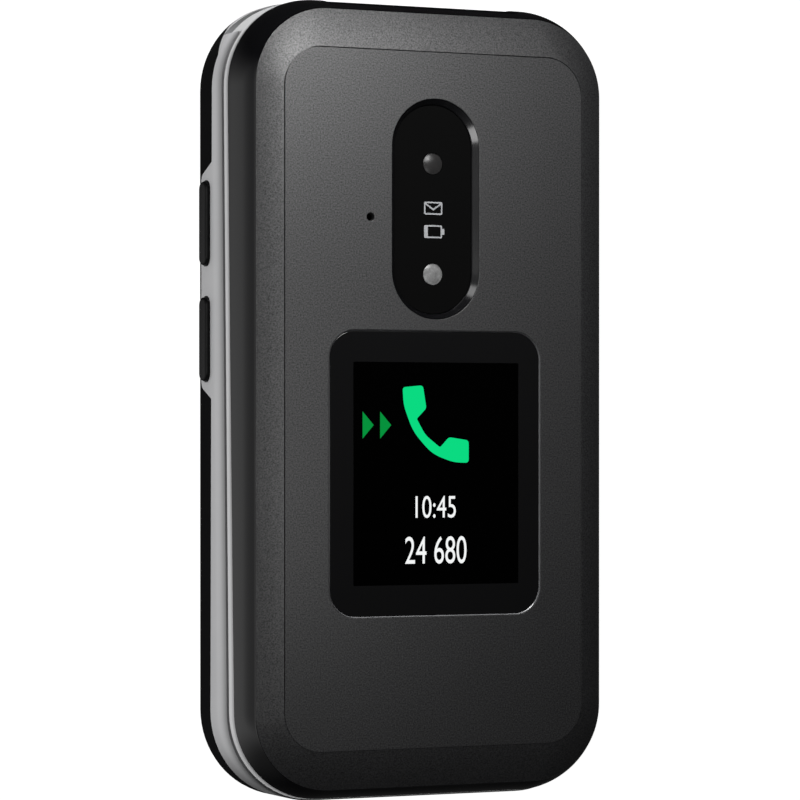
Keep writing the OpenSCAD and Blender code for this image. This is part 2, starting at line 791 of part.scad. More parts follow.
// Room for the barrel between the knuckles, up to the height where the wall may begin
module barrel_room() {
    x_rod(barrel_r + hinge_clear, -knuckle_start, knuckle_start);
    translate([-knuckle_start, axis_y - barrel_r + 0.5, 0])
        cube([2 * knuckle_start, 3 * barrel_r, axis_z + 0.93 * barrel_r]);
}

// Outline of the space inside the flip's wall
module flip_inside(inset, z0, z1) {
    plate(flip_w - 2 * inset, flip_l - 2 * inset, corner_r - inset, z0, z1);
}

// Silver frame of the flip: the strip round its foot and the two hinge knuckles, where the
// strip reaches down to fill the corner beside the lower half's band
module flip_frame() color("#c4c6c8") {
    difference() {
        union() {
            difference() {
                intersection() {
                    flip_blank();
                    below_seam(strip_top);
                }
                difference() {
                    below_seam(flip_foot);
                    for (s = [-1, 1]) intersection() {
                        x_rod(tuck_r - 0.2, s < 0 ? -knuckle_end : knuckle_start,
                            s < 0 ? -knuckle_start : knuckle_end);
                        hinge_side(axis_y - 0.5);
                    }
                }
                flip_inside(band_wall, 0, 20);
                barrel_room();
            }
            knuckles();
        }
        for (s = [-1, 1]) knuckle_bore(s);
    }
}

module knuckles() {
    intersection() {
        union() {
            x_rod(barrel_r, -knuckle_end, -knuckle_start);
            x_rod(barrel_r, knuckle_start, knuckle_end);
            difference() {
                for (s = [-1, 1])
                    translate([s * (knuckle_start + flip_w / 2) / 2, bezel_end_y + 2.7, 0])
                        slab(flip_w / 2 - knuckle_start, 5, 0, ledge_z - fit);
                below_seam(flip_foot);
            }
        }
        union() {
            intersection() {
                flip_inside(0.4, 0, 20);
                below_seam(strip_top);
            }
            flip_inside(wall_t + fit, 0, 20);
        }
    }
}

module knuckle_bore(s) {
    if (s < 0) cam_head(fit);
    else x_rod(pivot_r + 0.02, knuckle_start - 1, bush_end + fit);
}

// Glossy wall of the flip, open at the hinge between the knuckles
module flip_wall() color("#0f0f10") {
    ledge = wall_flare + 1.25;
    difference() {
        union() {
            difference() {
                flip_blank();
                flip_inside(wall_t, 0, ledge_z);
                flip_inside(ledge, 0, 20);
            }
            // Screw bosses
            difference() {
                for (p = flip_screw_places) translate([p[0], p[1], 11])
                    cylinder(r = 2.2, h = wall_top - 11);
                below_seam(bezel_boss_top + fit);
            }
        }
        below_seam(strip_top + fit);
        barrel_room();
        on_seam() for (p = flip_screw_places) translate([p[0], p[1], 0]) {
            cylinder(r = 0.75, h = bezel_foot + 4.6);
            cylinder(r = 2.45, h = bezel_boss_top + fit);
        }
        wall_hinge_cut();
    }
}

// The wall keeps clear of the knuckles
module wall_hinge_cut() {
    for (s = [-1, 1]) intersection() {
        x_rod(barrel_r + fit, -knuckle_end - fit, knuckle_end + fit);
        flip_inside(wall_t, 0, 20);
    }
}

// Textured cover: flat inside its crease, with a border that falls to the rim
module flip_cover() color("#3a3a3c") {
    difference() {
        hull() {
            plate(rim_w, rim_l, rim_r, wall_top, rim_z);
            plate(rim_w - 2 * border_side, rim_l - 2 * border_end, crease_r, phone_t - 0.01, phone_t);
        }
        plate(rim_w - 2 * border_side, rim_l - 2 * border_end, crease_r, wall_top - 1,
            phone_t - cover_t);
        translate([0, pill_y]) plate(pill_w, pill_l, pill_w / 2 - 0.01, 10, 20);
        translate([0, window_y]) plate(window_w, window_l, window_r, 10, 20);
        // Chamfer round the display opening
        translate([0, window_y, phone_t]) swept_round(window_w, window_l, window_r)
            polygon([[-0.5, 0.2], [-0.5, -0.4], [0, -0.4], [0.5, 0.1], [0.5, 0.2]]);
        translate([mic_hole[0], mic_hole[1], 10]) cylinder(r = 0.56, h = 20);
    }
}

// Glossy dish of the camera opening
module camera_bezel() color("#0c0c0d") {
    translate([0, pill_y, 0]) swept_round(pill_w - 0.1, pill_l - 0.1, pill_w / 2 - 0.05)
        polygon([[0, phone_t - 0.05], [-0.12, phone_t - 0.05], [-0.7, pill_floor],
            [-0.7, pill_floor - 0.4], [0, pill_floor - 0.4]]);
}

module camera_window() color("#101012") {
    translate([0, pill_y, 0]) difference() {
        plate(pill_w - 1.6, pill_l - 1.6, pill_w / 2 - 0.81, window_foot, pill_floor);
        translate([0, lens_up, 10]) cylinder(r = lens_r + fit, h = 10);
        translate([0, -lamp_down, 10]) cylinder(r = lens_r + fit, h = 10);
    }
}

// Camera: housing, lens tube and front lens
module camera_module() color("#2b2c2e") {
    translate([0, lens_y, 0]) {
        slab(8, 8, camera_foot, window_foot - fit - 0.4);
        translate([0, 0, camera_foot]) cylinder(r = 3.2, h = window_foot - fit - camera_foot);
        translate([0, 0, camera_foot]) cylinder(r = lens_r, h = pill_floor - fit - camera_foot);
    }
}

module flash_lens() color("#b8babc") {
    translate([0, lamp_y, 0]) {
        slab(3.2, 3.2, camera_foot + 0.25, window_foot - fit);
        translate([0, 0, window_foot - fit - 0.7]) cylinder(r = 2.2, h = 0.7);
        translate([0, 0, window_foot - 0.2]) cylinder(r = lens_r, h = pill_floor - fit - window_foot + 0.2);
    }
}

// Clear block that lights the two signs of the camera window
module light_guide() color("#e4e6e8") {
    translate([0, (lens_y + lamp_y) / 2, 0]) slab(4.4, 6.4, camera_foot + 0.15, window_foot - fit);
}

module outer_glass() color("#0b0b0d") {
    translate([0, window_y, 0]) plate(window_w - 0.1, window_l - 0.1, window_r - 0.05,
        glass_top - glass_t, glass_top);
}

module outer_display() color("#17181a") {
    translate([0, window_y, 0]) {
        top = glass_top - glass_t - fit;
        plate(window_w - 4, window_l - 3.6, 0.6, top - 2, top);
        translate([0, -window_l / 2 + 1.2, 0]) slab(window_w - 13, 3, top - 2, top - 0.9);
    }
}

// Board of the flip, with a tongue past the camera to the hinge
module flip_board() color("#1f5a36") {
    foot = inner_glass_foot + glass_t + fit + inner_display[2] + 0.1;
    on_seam() translate([0, 0, foot]) {
        translate([0, inner_y]) linear_extrude(0.6) round_rect(board_w, inner_display[1] - 2, 2);
        translate([pill_w / 2 + 2.6, inner_y, 0]) cube([11, earpiece_y - inner_y + 4, 0.6]);
    }
}

module inner_bezel() color("#161618") {
    on_seam() difference() {
        union() {
            intersection() {
                plate(flip_w - 2 * band_wall - 0.1, flip_l - 2 * band_wall - 0.1,
                    corner_r - band_wall - 0.05, bezel_foot, bezel_foot + bezel_t);
                translate([-half_w, -half_l, -5]) cube([phone_w, half_l + bezel_end_y, 20]);
            }
            for (p = flip_screw_places) translate([p[0], p[1], bezel_foot])
                cylinder(r = 2.4, h = bezel_boss_top - bezel_foot);
        }
        translate([0, inner_y]) plate(inner_glass[0] + 0.2, inner_glass[1] + 0.2, 2.1,
            bezel_foot - 1, inner_glass_foot + glass_t + 0.02);
        translate([0, inner_y]) plate(inner_display[0] - 1.6, inner_display[1] - 2, 1, 0, 20);
        translate([0, earpiece_y]) linear_extrude(20, center = true) round_rect(11, 1.4, 0.69);
        for (p = flip_screw_places) translate([p[0], p[1], 0]) {
            cylinder(r = 0.85, h = 20);
            translate([0, 0, bezel_foot - 1]) cylinder(r = 1.7, h = 1 + 1.1);
        }
    }
}

module inner_glass() color("#0b0b0d") {
    on_seam() translate([0, inner_y])
        plate(inner_glass[0], inner_glass[1], 2, inner_glass_foot, inner_glass_foot + glass_t);
}

module inner_display() color("#17181a") {
    foot = inner_glass_foot + glass_t + fit;
    on_seam() translate([0, inner_y]) {
        plate(inner_display[0] - 2, inner_display[1] - 2.4, 1, foot, foot + inner_display[2]);
        plate(inner_display[0], inner_display[1], 1, bezel_foot + bezel_t + fit,
            foot + inner_display[2]);
    }
}

module earpiece() color("#3a3b3d") {
    on_seam() translate([0, earpiece_y, bezel_foot + bezel_t + fit]) difference() {
        plate(13, 7, 2, 0, 2);
        translate([0, 0, -1]) linear_extrude(1.3) round_rect(11, 1.4, 0.69);
    }
}

// Rubber plugs over the flip's screws, which meet the keypad plate first
module flip_bumpers() color("#2c2c2e") {
    on_seam() for (p = flip_screw_places) translate([p[0], p[1], deck_top + 0.06])
        cylinder(r = 1.6, h = bezel_foot - deck_top + 0.15);
}

module flip_screws() color("#8f9296") {
    on_seam() for (p = flip_screw_places) translate([p[0], p[1], bezel_foot + 0.3]) difference() {
        union() {
            cylinder(r = 1.5, h = 0.8);
            cylinder(r = 0.7, h = 4);
        }
        translate([-0.9, -0.18, -1]) cube([1.8, 0.36, 1.4]);
        translate([-0.18, -0.9, -1]) cube([0.36, 1.8, 1.4]);
    }
}

// ---------- inside the hinge ----------

// Head of the cam, with two flats that the knuckle holds
module cam_head(grow) {
    intersection() {
        x_rod(2.7 + grow, cam_head_end - grow, -knuckle_start + 0.1 + (grow > 0 ? 1 : 0));
        translate([-far, axis_y - 2.1 - grow, 0]) cube([2 * far, 4.2 + 2 * grow, 40]);
    }
}

// Cam that turns with the flip
module hinge_cam() color("#8f9296") {
    cam_head(0);
    x_rod(1, -knuckle_start, -barrel_end + 5);
    difference() {
        x_rod(cam_r, -barrel_end + 1.3, -barrel_end + 3);
        translate([-barrel_end + 3.2, axis_y, axis_z]) rotate([45, 0, 0])
            rotate([0, 45, 0]) cube([1.2, 9, 1.2], center = true);
    }
}

// Follower that the spring presses on the cam
module cam_follower() color("#b0b3b6") {
    difference() {
        x_rod(cam_r, -barrel_end + 3.05, -barrel_end + 4.4);
        x_rod(1.05, -barrel_end, 0);
    }
}

// Sleeve of the hinge's spring and cam, fixed in the barrel
module hinge_cartridge() color("#a9acaf") {
    difference() {
        x_rod(cartridge_r, -barrel_end + 0.15, cartridge_end);
        x_rod(1.05, -barrel_end, -barrel_end + 2);
        x_rod(cam_r + fit, -barrel_end + 1.2, cartridge_end - 0.6);
    }
}

// Coil spring as a tube swept along a helix
module hinge_spring() color("#8f9296") {
    wire = 0.27;
    coil_r = cam_r - wire - 0.1;
    turns = 7;
    steps = 14;
    sides = 6;
    x0 = -barrel_end + 4.4 + wire + 0.05;
    x1 = cartridge_end - 0.6 - wire - 0.05;
    n = turns * steps;
    points = [for (i = [0:n], k = [0:sides - 1])
        let (a = 360 * i / steps, b = 360 * k / sides, rr = coil_r + wire * cos(b))
            [x0 + (x1 - x0) * i / n + wire * sin(b), axis_y + rr * cos(a), axis_z + rr * sin(a)]];
    quads = [for (i = [0:n - 1], k = [0:sides - 1]) let (j = (k + 1) % sides)
        [i * sides + k, i * sides + j, (i + 1) * sides + j, (i + 1) * sides + k]];
    polyhedron(points, concat(quads, [[for (k = [sides - 1:-1:0]) k]],
        [[for (k = [0:sides - 1]) n * sides + k]]), convexity = 10);
}

// Hollow pivot on the other side, with the flex inside
module pivot_bush() color("#b5914a") {
    difference() {
        x_rod(pivot_r, bush_start, bush_end);
        x_rod(1.35, bush_start - 1, bush_end + 1);
    }
}

// Flex circuit: up from the main board, then rolled along the axis
module display_flex() color("#b9782e") {
    flex_channel(0.2, flex_start + 0.2, flex_end - 0.2);
    x_rod(1.05, flex_start + 0.2, bush_end - 0.2);
}

battery_cover();
base_chassis();
mid_frame();
keypad_plate();
main_board();
key_domes();
shield_can();
battery();
battery_contacts();
loudspeaker();
vibration_motor();
usb_port();
headphone_jack();
sim_holder();
microphone();
antenna();
base_screws();
hinge_cartridge();
cam_follower();
hinge_spring();
display_flex();
flip_frame();
flip_wall();
flip_cover();
camera_bezel();
camera_window();
camera_module();
flash_lens();
light_guide();
outer_glass();
outer_display();
flip_board();
inner_bezel();
inner_glass();
inner_display();
earpiece();
flip_bumpers();
flip_screws();
hinge_cam();
pivot_bush();
direction_ring();
ok_key();
side_key(-1, 0, "#26272a");  // left_soft_key
side_key(1, 0, "#26272a");  // right_soft_key
side_key(-1, 1, "#1f8a4c");  // call_key
side_key(1, 1, "#b3242a");  // end_key
number_key(0);  // key_1
number_key(1);  // key_2
number_key(2);  // key_3
number_key(3);  // key_4
number_key(4);  // key_5
number_key(5);  // key_6
number_key(6);  // key_7
number_key(7);  // key_8
number_key(8);  // key_9
number_key(9);  // key_star
number_key(10);  // key_0
number_key(11);  // key_hash
volume_key(1);  // volume_up_key
volume_key(-1);  // volume_down_key
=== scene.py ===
"""Looks of the flip phone: moulded shells, silver bands, camera opening, lit display and keys.

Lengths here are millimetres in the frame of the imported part: x across, y towards the hinge, z out
of the front. They become metres when a mesh is made.
"""

import json
import math

import bmesh
import bpy
import numpy as np
from mathutils import Matrix, Vector

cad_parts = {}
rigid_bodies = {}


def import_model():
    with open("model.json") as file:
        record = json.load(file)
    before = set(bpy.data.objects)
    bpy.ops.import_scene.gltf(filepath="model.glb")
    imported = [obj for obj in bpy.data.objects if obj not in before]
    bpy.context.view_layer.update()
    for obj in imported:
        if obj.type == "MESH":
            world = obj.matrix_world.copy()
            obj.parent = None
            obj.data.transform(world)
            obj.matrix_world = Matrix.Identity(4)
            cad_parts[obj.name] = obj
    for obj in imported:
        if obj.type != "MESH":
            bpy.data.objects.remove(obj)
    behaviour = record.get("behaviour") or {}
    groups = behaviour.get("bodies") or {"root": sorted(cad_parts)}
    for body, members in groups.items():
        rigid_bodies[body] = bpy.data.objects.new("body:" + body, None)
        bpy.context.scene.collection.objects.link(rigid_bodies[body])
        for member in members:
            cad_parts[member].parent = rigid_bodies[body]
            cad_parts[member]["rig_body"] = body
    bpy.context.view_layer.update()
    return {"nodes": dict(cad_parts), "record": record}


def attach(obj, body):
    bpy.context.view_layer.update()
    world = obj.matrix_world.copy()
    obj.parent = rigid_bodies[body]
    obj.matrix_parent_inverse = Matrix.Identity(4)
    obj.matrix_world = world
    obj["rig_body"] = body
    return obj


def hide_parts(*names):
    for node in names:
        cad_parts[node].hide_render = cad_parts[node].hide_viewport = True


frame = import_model()

MM = 0.001
TAU = 2 * math.pi

# The part's own sizes. The parting plane passes through SEAM_Z and falls towards the hinge
PHONE_L, PHONE_T = 105.6, 19.0
CORNER_R = 11.8
FLIP_W, FLIP_L = 53.7, 105.3
SEAM_Z, SEAM_FALL = 11.4, 2.2 / PHONE_L
SEAM_TILT = math.atan(SEAM_FALL)
AXIS_Z = 12.0
# The flip's wall, from the silver strip's top over the parting plane up to the cover's rim
STRIP_TOP = 1.5
WALL_FLARE, WALL_TOP, RIM_Z = 1.65, 17.5, 17.65
# Between the knuckles, this far from the middle, the wall starts above the barrel
KNUCKLE_X, OVER_BARREL = 13.9, 15.82
# The cover's crease and its openings: display, camera, microphone
CREASE_W, CREASE_L, CREASE_R = 43.6, 91.8, 5.3
WINDOW_W, WINDOW_L, WINDOW_R, WINDOW_Y = 31.0, 37.6, 3.8, -9.7
PILL_W, PILL_L, PILL_Y = 12.8, 29.1, 25.15
MIC_X, MIC_Y, MIC_R = -9.5, 23.9, 0.56
# The dark window in the camera opening, its lens and lamp, and the display's glass
PILL_FLOOR, GLASS_TOP = 18.0, 18.84
LENS_Y, LAMP_Y, LENS_R = 31.2, 16.6, 1.4
# The lit panel's edges, which stand a little to the right of the middle
PANEL_X, PANEL_W, PANEL_FOOT, PANEL_HEAD = 0.18, 24.2, -24.35, 4.95
# Where the painted light and shade change round the corners of the free end, from their full change
# to none
FREE_END = (-51.8, -45.0)
# Keys over the parting plane, and the places of their rows and columns
KEY_TOP = -0.3
SOFT_KEY_X, SOFT_KEY_Y, CALL_KEY_Y, RING_Y = 18.6, 31.4, 20.6, 26.0
DIGIT_Y, DIGIT_STEP_X, DIGIT_STEP_Y = 4.5, 16.0, 12.0


def seam_at(y):
    """Height of the parting plane at a place along the phone."""
    return SEAM_Z - y * SEAM_FALL


def on_seam(points):
    """Turns points from the parting plane's own frame into the phone's: a small turn about x."""
    c, s = math.cos(SEAM_TILT), math.sin(SEAM_TILT)
    x, y, z = np.moveaxis(np.asarray(points, float), -1, 0)
    return np.stack([x, y * c + z * s, SEAM_Z - y * s + z * c], -1)


# ---------- surfaces ----------


def loop(w, l, r, steps=18, across=24, along=48):
    """Once round a rounded rectangle, anticlockwise from the foot of its right side: straight
    sides, and quarter circles of radius r about the four corner centres.
    Returns the points and the directions outwards."""
    a, b = w / 2 - r, l / 2 - r
    xs, ys = np.linspace(-a, a, across), np.linspace(-b, b, along)
    turn = np.linspace(0, TAU / 4, steps + 2)[1:-1]
    points, normals = [], []
    sides = [
        (np.full(along, w / 2), ys, a, b),
        (xs[::-1], np.full(across, l / 2), -a, b),
        (np.full(along, -w / 2), ys[::-1], -a, -b),
        (xs, np.full(across, -l / 2), a, -b),
    ]
    for q, (x, y, cx, cy) in enumerate(sides):
        facing = np.array([math.cos(q * TAU / 4), math.sin(q * TAU / 4)])
        angle = turn + q * TAU / 4
        out = np.stack([np.cos(angle), np.sin(angle)], -1)
        points += [np.stack([x, y], -1), [cx, cy] + r * out]
        normals += [np.tile(facing, (len(x), 1)), out]
    return np.concatenate(points), np.concatenate(normals)


def carry(path, out, up):
    """A profile carried along a path: its point k stands out[k] outwards from the path at height
    up[k], and both may change along the path. Returns a grid of points, profile by path."""
    points, normals = path
    out, up = np.broadcast_arrays(
        np.atleast_2d(np.asarray(out, float)), np.atleast_2d(np.asarray(up, float))
    )
    x = points[:, 0] + out * normals[:, 0]
    y = points[:, 1] + out * normals[:, 1]
    return np.stack([x, y, up + 0 * x], -1)


def section_round(path, section):
    """The surface of a closed section of (out, height) carried unchanged round a path."""
    section = np.asarray(section, float)
    return skin(carry(path, section[:, :1], section[:, 1:]), ring_profile=True)


def rounded(corners, steps=4):
    """Rounds the corners of a closed outline given as (x, y, radius): each becomes a quarter-like
    bend between the points that lie a radius away along its two sides."""
    corners = np.asarray(corners, float)
    here, r = corners[:, :2], corners[:, 2:3]
    back, ahead = np.roll(here, 1, 0) - here, np.roll(here, -1, 0) - here
    back /= np.linalg.norm(back, axis=1, keepdims=True)
    ahead /= np.linalg.norm(ahead, axis=1, keepdims=True)
    t = np.linspace(0, 1, steps)[None, :, None]
    start, end = (here + back * r)[:, None], (here + ahead * r)[:, None]
    bend = (1 - t) ** 2 * start + 2 * t * (1 - t) * here[:, None] + t**2 * end
    return bend.reshape(-1, 2)


def skin(grid, ring_profile=False):
    """Quads between the neighbours of a grid of points. It closes along its path, and round its
    profile too where that is a ring."""
    rows, cols = grid.shape[:2]
    i = np.arange(rows if ring_profile else rows - 1)[:, None]
    j = np.arange(cols)[None, :]
    up, on = (i + 1) % rows, (j + 1) % cols
    faces = np.stack([i * cols + j, i * cols + on, up * cols + on, up * cols + j], -1)
    return grid.reshape(-1, 3), faces.reshape(-1, 4).tolist()


def turned(profile, x, y):
    """A profile of (radius, height) turned about an upright line at x, y."""
    sides = 48
    profile = np.asarray(profile, float)
    angle = np.arange(sides) * TAU / sides
    r, z = profile[:, :1], profile[:, 1:]
    return np.stack([x + r * np.cos(angle), y + r * np.sin(angle), z + 0 * angle], -1)


def capped(grid):
    """A grid's quads, with its first and its last ring closed by a face each."""
    rows, cols = grid.shape[:2]
    points, faces = skin(grid)
    first, last = range(cols)[::-1], range((rows - 1) * cols, rows * cols)
    return points, faces + [list(first), list(last)]


def piece(name, surface, body, finish, stands_for=(), sharp=35):
    """Turns the points and faces of a surface into a mesh in metres and places it on its body."""
    points, faces = surface
    mesh = bpy.data.meshes.new(name)
    mesh.from_pydata((points * MM).tolist(), [], faces)
    return place(name, mesh, body, finish, stands_for, sharp)


def place(name, mesh, body, finish, stands_for=(), sharp=35):
    """Puts a finished mesh on its body, with its finish and the solids that it stands for. Its
    edges are sharp past an angle, and faces that look straight up or down are shaded flat."""
    mesh.shade_smooth()
    mesh.set_sharp_from_angle(angle=math.radians(sharp))
    facing = np.zeros(len(mesh.polygons) * 3)
    mesh.polygons.foreach_get("normal", facing)
    mesh.polygons.foreach_set("use_smooth", np.abs(facing[2::3]) < 0.9999)
    mesh.update()
    mesh.materials.clear()
    mesh.materials.append(finish)
    obj = bpy.data.objects.new(name, mesh)
    bpy.context.scene.collection.objects.link(obj)
    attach(obj, body)
    if stands_for:
        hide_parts(*stands_for)
    return obj


def flat_shape(outlines, foot, top, edge=0.0):
    """A plate between two heights whose outlines are closed loops of points, holes among them,
    with its edges rounded. Returns its mesh in millimetres."""
    curve = bpy.data.curves.new("flat", "CURVE")
    curve.dimensions = "2D"
    curve.fill_mode = "BOTH"
    for points in outlines:
        points = np.asarray(points, float)
        spline = curve.splines.new("POLY")
        spline.points.add(len(points) - 1)
        flat = np.zeros((len(points), 4))
        flat[:, :2] = points
        flat[:, 3] = 1
        spline.points.foreach_set("co", flat.ravel())
        spline.use_cyclic_u = True
    curve.extrude = (top - foot) / 2 - edge
    curve.bevel_depth = edge
    curve.bevel_resolution = 2
    curve.offset = -edge
    return curve_mesh(curve, (0, 0, (top + foot) / 2))


# Thickness of a print, and the width of a drawn line
SKIN, LINE = 0.02, 0.2


def lettering(words, height, x, y, z, thick, width=None):
    """Plain figures as a thin raised shape, centred at x, y, with that height of a figure.
    Returns their mesh in millimetres."""
    curve = bpy.data.curves.new("figures", "FONT")
    curve.body = words
    curve.align_x = "CENTER"
    curve.align_y = "CENTER"
    curve.size = 10
    curve.extrude = 0.01
    mesh = curve_mesh(curve, (0, 0, 0))
    co = mesh_points(mesh)
    low, high = co.min(0), co.max(0)
    scale = np.full(3, height / (high[1] - low[1]))
    if width:
        scale[0] = width / (high[0] - low[0])
    scale[2] = thick / 0.02
    co = (co - (low + high) / 2) * scale + [x, y, z + thick / 2]
    mesh.vertices.foreach_set("co", co.ravel())
    return mesh


def curve_mesh(curve, shift):
    """The mesh of a curve, moved by shift."""
    obj = bpy.data.objects.new("curve", curve)
    bpy.context.scene.collection.objects.link(obj)
    depsgraph = bpy.context.evaluated_depsgraph_get()
    mesh = bpy.data.meshes.new_from_object(obj.evaluated_get(depsgraph))
    bpy.data.objects.remove(obj)
    bpy.data.curves.remove(curve)
    mesh.transform(Matrix.Translation(Vector(shift)))
    return mesh


def mesh_points(mesh):
    """A mesh's points as an array."""
    co = np.zeros(len(mesh.vertices) * 3)
    mesh.vertices.foreach_get("co", co)
    return co.reshape(-1, 3)


def tidy(mesh, turn=None):
    """Merges the doubled points of a curve's mesh, points its faces outwards and turns it into
    metres."""
    co = mesh_points(mesh)
    if turn:
        co = turn(co)
    mesh.vertices.foreach_set("co", (co * MM).ravel())
    bm = bmesh.new()
    bm.from_mesh(mesh)
    bmesh.ops.remove_doubles(bm, verts=bm.verts, dist=1e-7)
    bmesh.ops.recalc_face_normals(bm, faces=bm.faces)
    bm.to_mesh(mesh)
    bm.free()
    return mesh


def joined(meshes):
    """Several meshes as one."""
    bm = bmesh.new()
    for mesh in meshes:
        bm.from_mesh(mesh)
        bpy.data.meshes.remove(mesh)
    mesh = bpy.data.meshes.new("joined")
    bm.to_mesh(mesh)
    bm.free()
    return mesh


def dressed(node, finish, edge=0.0, sharp=35):
    """A solid's own shape, merged and smoothed, with its sharp edges broken by a small radius."""
    mesh = frame["nodes"][node].data.copy()
    bm = bmesh.new()
    bm.from_mesh(mesh)
    bmesh.ops.remove_doubles(bm, verts=bm.verts, dist=2e-6)
    bmesh.ops.dissolve_limit(
        bm, angle_limit=math.radians(0.5), verts=bm.verts, edges=bm.edges, delimit=set()
    )
    bm.to_mesh(mesh)
    bm.free()
    body = frame["nodes"][node]["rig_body"]
    obj = place(node + "_shell", mesh, body, finish, [node], sharp)
    if edge:
        soften = obj.modifiers.new("edge", "BEVEL")
        soften.width = edge * MM
        soften.segments = 2
        soften.limit_method = "ANGLE"
        soften.angle_limit = math.radians(sharp)
        soften.harden_normals = True
    return obj


# ---------- materials ----------


def hex_colour(code):
    """Linear colour of an sRGB hex value, with full alpha."""
    srgb = [int(code[i : i + 2], 16) / 255 for i in (1, 3, 5)]
    linear = [c / 12.92 if c <= 0.04045 else ((c + 0.055) / 1.055) ** 2.4 for c in srgb]
    return linear + [1.0]


def add(tree, kind, inputs=None, **settings):
    """Adds a node with its settings. An input's value is a number or colour, or the socket that
    feeds it."""
    node = tree.nodes.new(kind)
    for key, value in settings.items():
        setattr(node, key, value)
    for key, value in (inputs or {}).items():
        if isinstance(value, bpy.types.NodeSocket):
            tree.links.new(value, node.inputs[key])
        else:
            node.inputs[key].default_value = value
    return node


def times(tree, colour, share):
    """A colour multiplied by a share."""
    product = add(
        tree, "ShaderNodeMix", {"Factor": 1.0}, data_type="RGBA", blend_type="MULTIPLY"
    )
    tree.links.new(colour, product.inputs[6])
    tree.links.new(share, product.inputs[7])
    return product.outputs[2]


def painted_shade_over_seam(tree, place_of, painted_seam_shade):
    """Painted shade: the share of a colour that is left at a height over the parting plane, from a
    list of (height in mm, share). The height is z plus the plane's fall times y."""
    low, high = painted_seam_shade[0][0], painted_seam_shade[-1][0]
    height = add(
        tree, "ShaderNodeVectorMath", {0: place_of, 1: (0, SEAM_FALL, 1)}, operation="DOT_PRODUCT"
    )
    ends = {"From Min": (SEAM_Z + low) * MM, "From Max": (SEAM_Z + high) * MM}
    along = add(tree, "ShaderNodeMapRange", {"Value": height.outputs["Value"], **ends})
    shade = add(tree, "ShaderNodeValToRGB", {"Fac": along.outputs[0]})
    stops = shade.color_ramp.elements
    for h, level in painted_seam_shade[1:-1]:
        stops.new((h - low) / (high - low))
    for stop, (h, level) in zip(stops, painted_seam_shade):
        stop.color = (level, level, level, 1)
    return shade.outputs[0]


def painted_light_at_end(tree, place_of, painted_end_light):
    """Painted light or shade: the share of a colour near the phone's free end, which changes
    smoothly round the corners.
    """
    along = add(tree, "ShaderNodeSeparateXYZ", {"Vector": place_of}).outputs["Y"]
    ends = {"From Min": FREE_END[0] * MM, "From Max": FREE_END[1] * MM}
    levels = {"To Min": painted_end_light, "To Max": 1.0}
    share = add(
        tree,
        "ShaderNodeMapRange",
        {"Value": along, **ends, **levels},
        interpolation_type="SMOOTHSTEP",
    )
    return share.outputs[0]


def finish_of(
    name,
    light,
    dark,
    grain=0.3,
    patch=6.0,
    bump=0.004,
    rough=(0.4, 0.5),
    stretch=(1, 1, 1),
    sparkle=0.0,
    painted_seam_shade=None,
    painted_end_light=1.0,
    shader=None,
):
    """A material whose colour wanders between two near tones, with a fine grain in its roughness
    and its relief. grain and patch are the sizes of the grain and of the colour's drift in mm,
    and bump is the grain's depth in mm. painted_seam_shade lists heights in mm above the parting
    plane with the share of the colour that is left there, as painted shade. painted_end_light is
    the share at the phone's free end, as painted light or shade."""
    mat = bpy.data.materials.new(name)
    mat.use_nodes = True
    tree = mat.node_tree
    surface = tree.nodes["Principled BSDF"]
    place_of = add(tree, "ShaderNodeTexCoord").outputs["Object"]
    drawn = add(tree, "ShaderNodeMapping", {"Vector": place_of, "Scale": stretch}).outputs[0]
    fine = add(
        tree,
        "ShaderNodeTexNoise",
        {"Vector": drawn, "Scale": 1 / (grain * MM), "Detail": 2.0, "Roughness": 0.6},
    ).outputs[0]
    drift = add(
        tree,
        "ShaderNodeTexNoise",
        {"Vector": place_of, "Scale": 1 / (patch * MM), "Detail": 3.0},
    )
    blend = add(tree, "ShaderNodeMix", {"Factor": drift.outputs[0]}, data_type="RGBA")
    blend.inputs[6].default_value = hex_colour(light)
    blend.inputs[7].default_value = hex_colour(dark)
    colour = blend.outputs[2]
    # Painted shade by height over the parting plane, and painted light or shade round the free end
    if painted_seam_shade:
        colour = times(tree, colour, painted_shade_over_seam(tree, place_of, painted_seam_shade))
    if painted_end_light != 1:
        colour = times(tree, colour, painted_light_at_end(tree, place_of, painted_end_light))
    tree.links.new(colour, surface.inputs["Base Color"])
    grains = {"Value": fine, "From Min": 0.3, "From Max": 0.7}
    spread = add(tree, "ShaderNodeMapRange", {**grains, "To Min": rough[0], "To Max": rough[1]})
    tree.links.new(spread.outputs[0], surface.inputs["Roughness"])
    relief = add(
        tree, "ShaderNodeBump", {"Height": fine, "Distance": bump * MM, "Strength": 1.0}
    )
    tree.links.new(relief.outputs[0], surface.inputs["Normal"])
    if sparkle:
        levels = {"To Min": 0.5 - sparkle, "To Max": 0.5 + sparkle}
        glint = add(tree, "ShaderNodeMapRange", {**grains, **levels}, clamp=False)
        tree.links.new(glint.outputs[0], surface.inputs["Specular IOR Level"])
    for key, value in (shader or {}).items():
        surface.inputs[key].default_value = value
    return mat


def lit(name, colour):
    """Liquid crystal seen through its glass: light of one colour under the glass's own gloss."""
    mat = bpy.data.materials.new(name)
    mat.use_nodes = True
    surface = mat.node_tree.nodes["Principled BSDF"]
    surface.inputs["Base Color"].default_value = hex_colour("#050505")
    surface.inputs["Roughness"].default_value = 0.06
    surface.inputs["Emission Color"].default_value = hex_colour(colour)
    surface.inputs["Emission Strength"].default_value = 1.0
    return mat


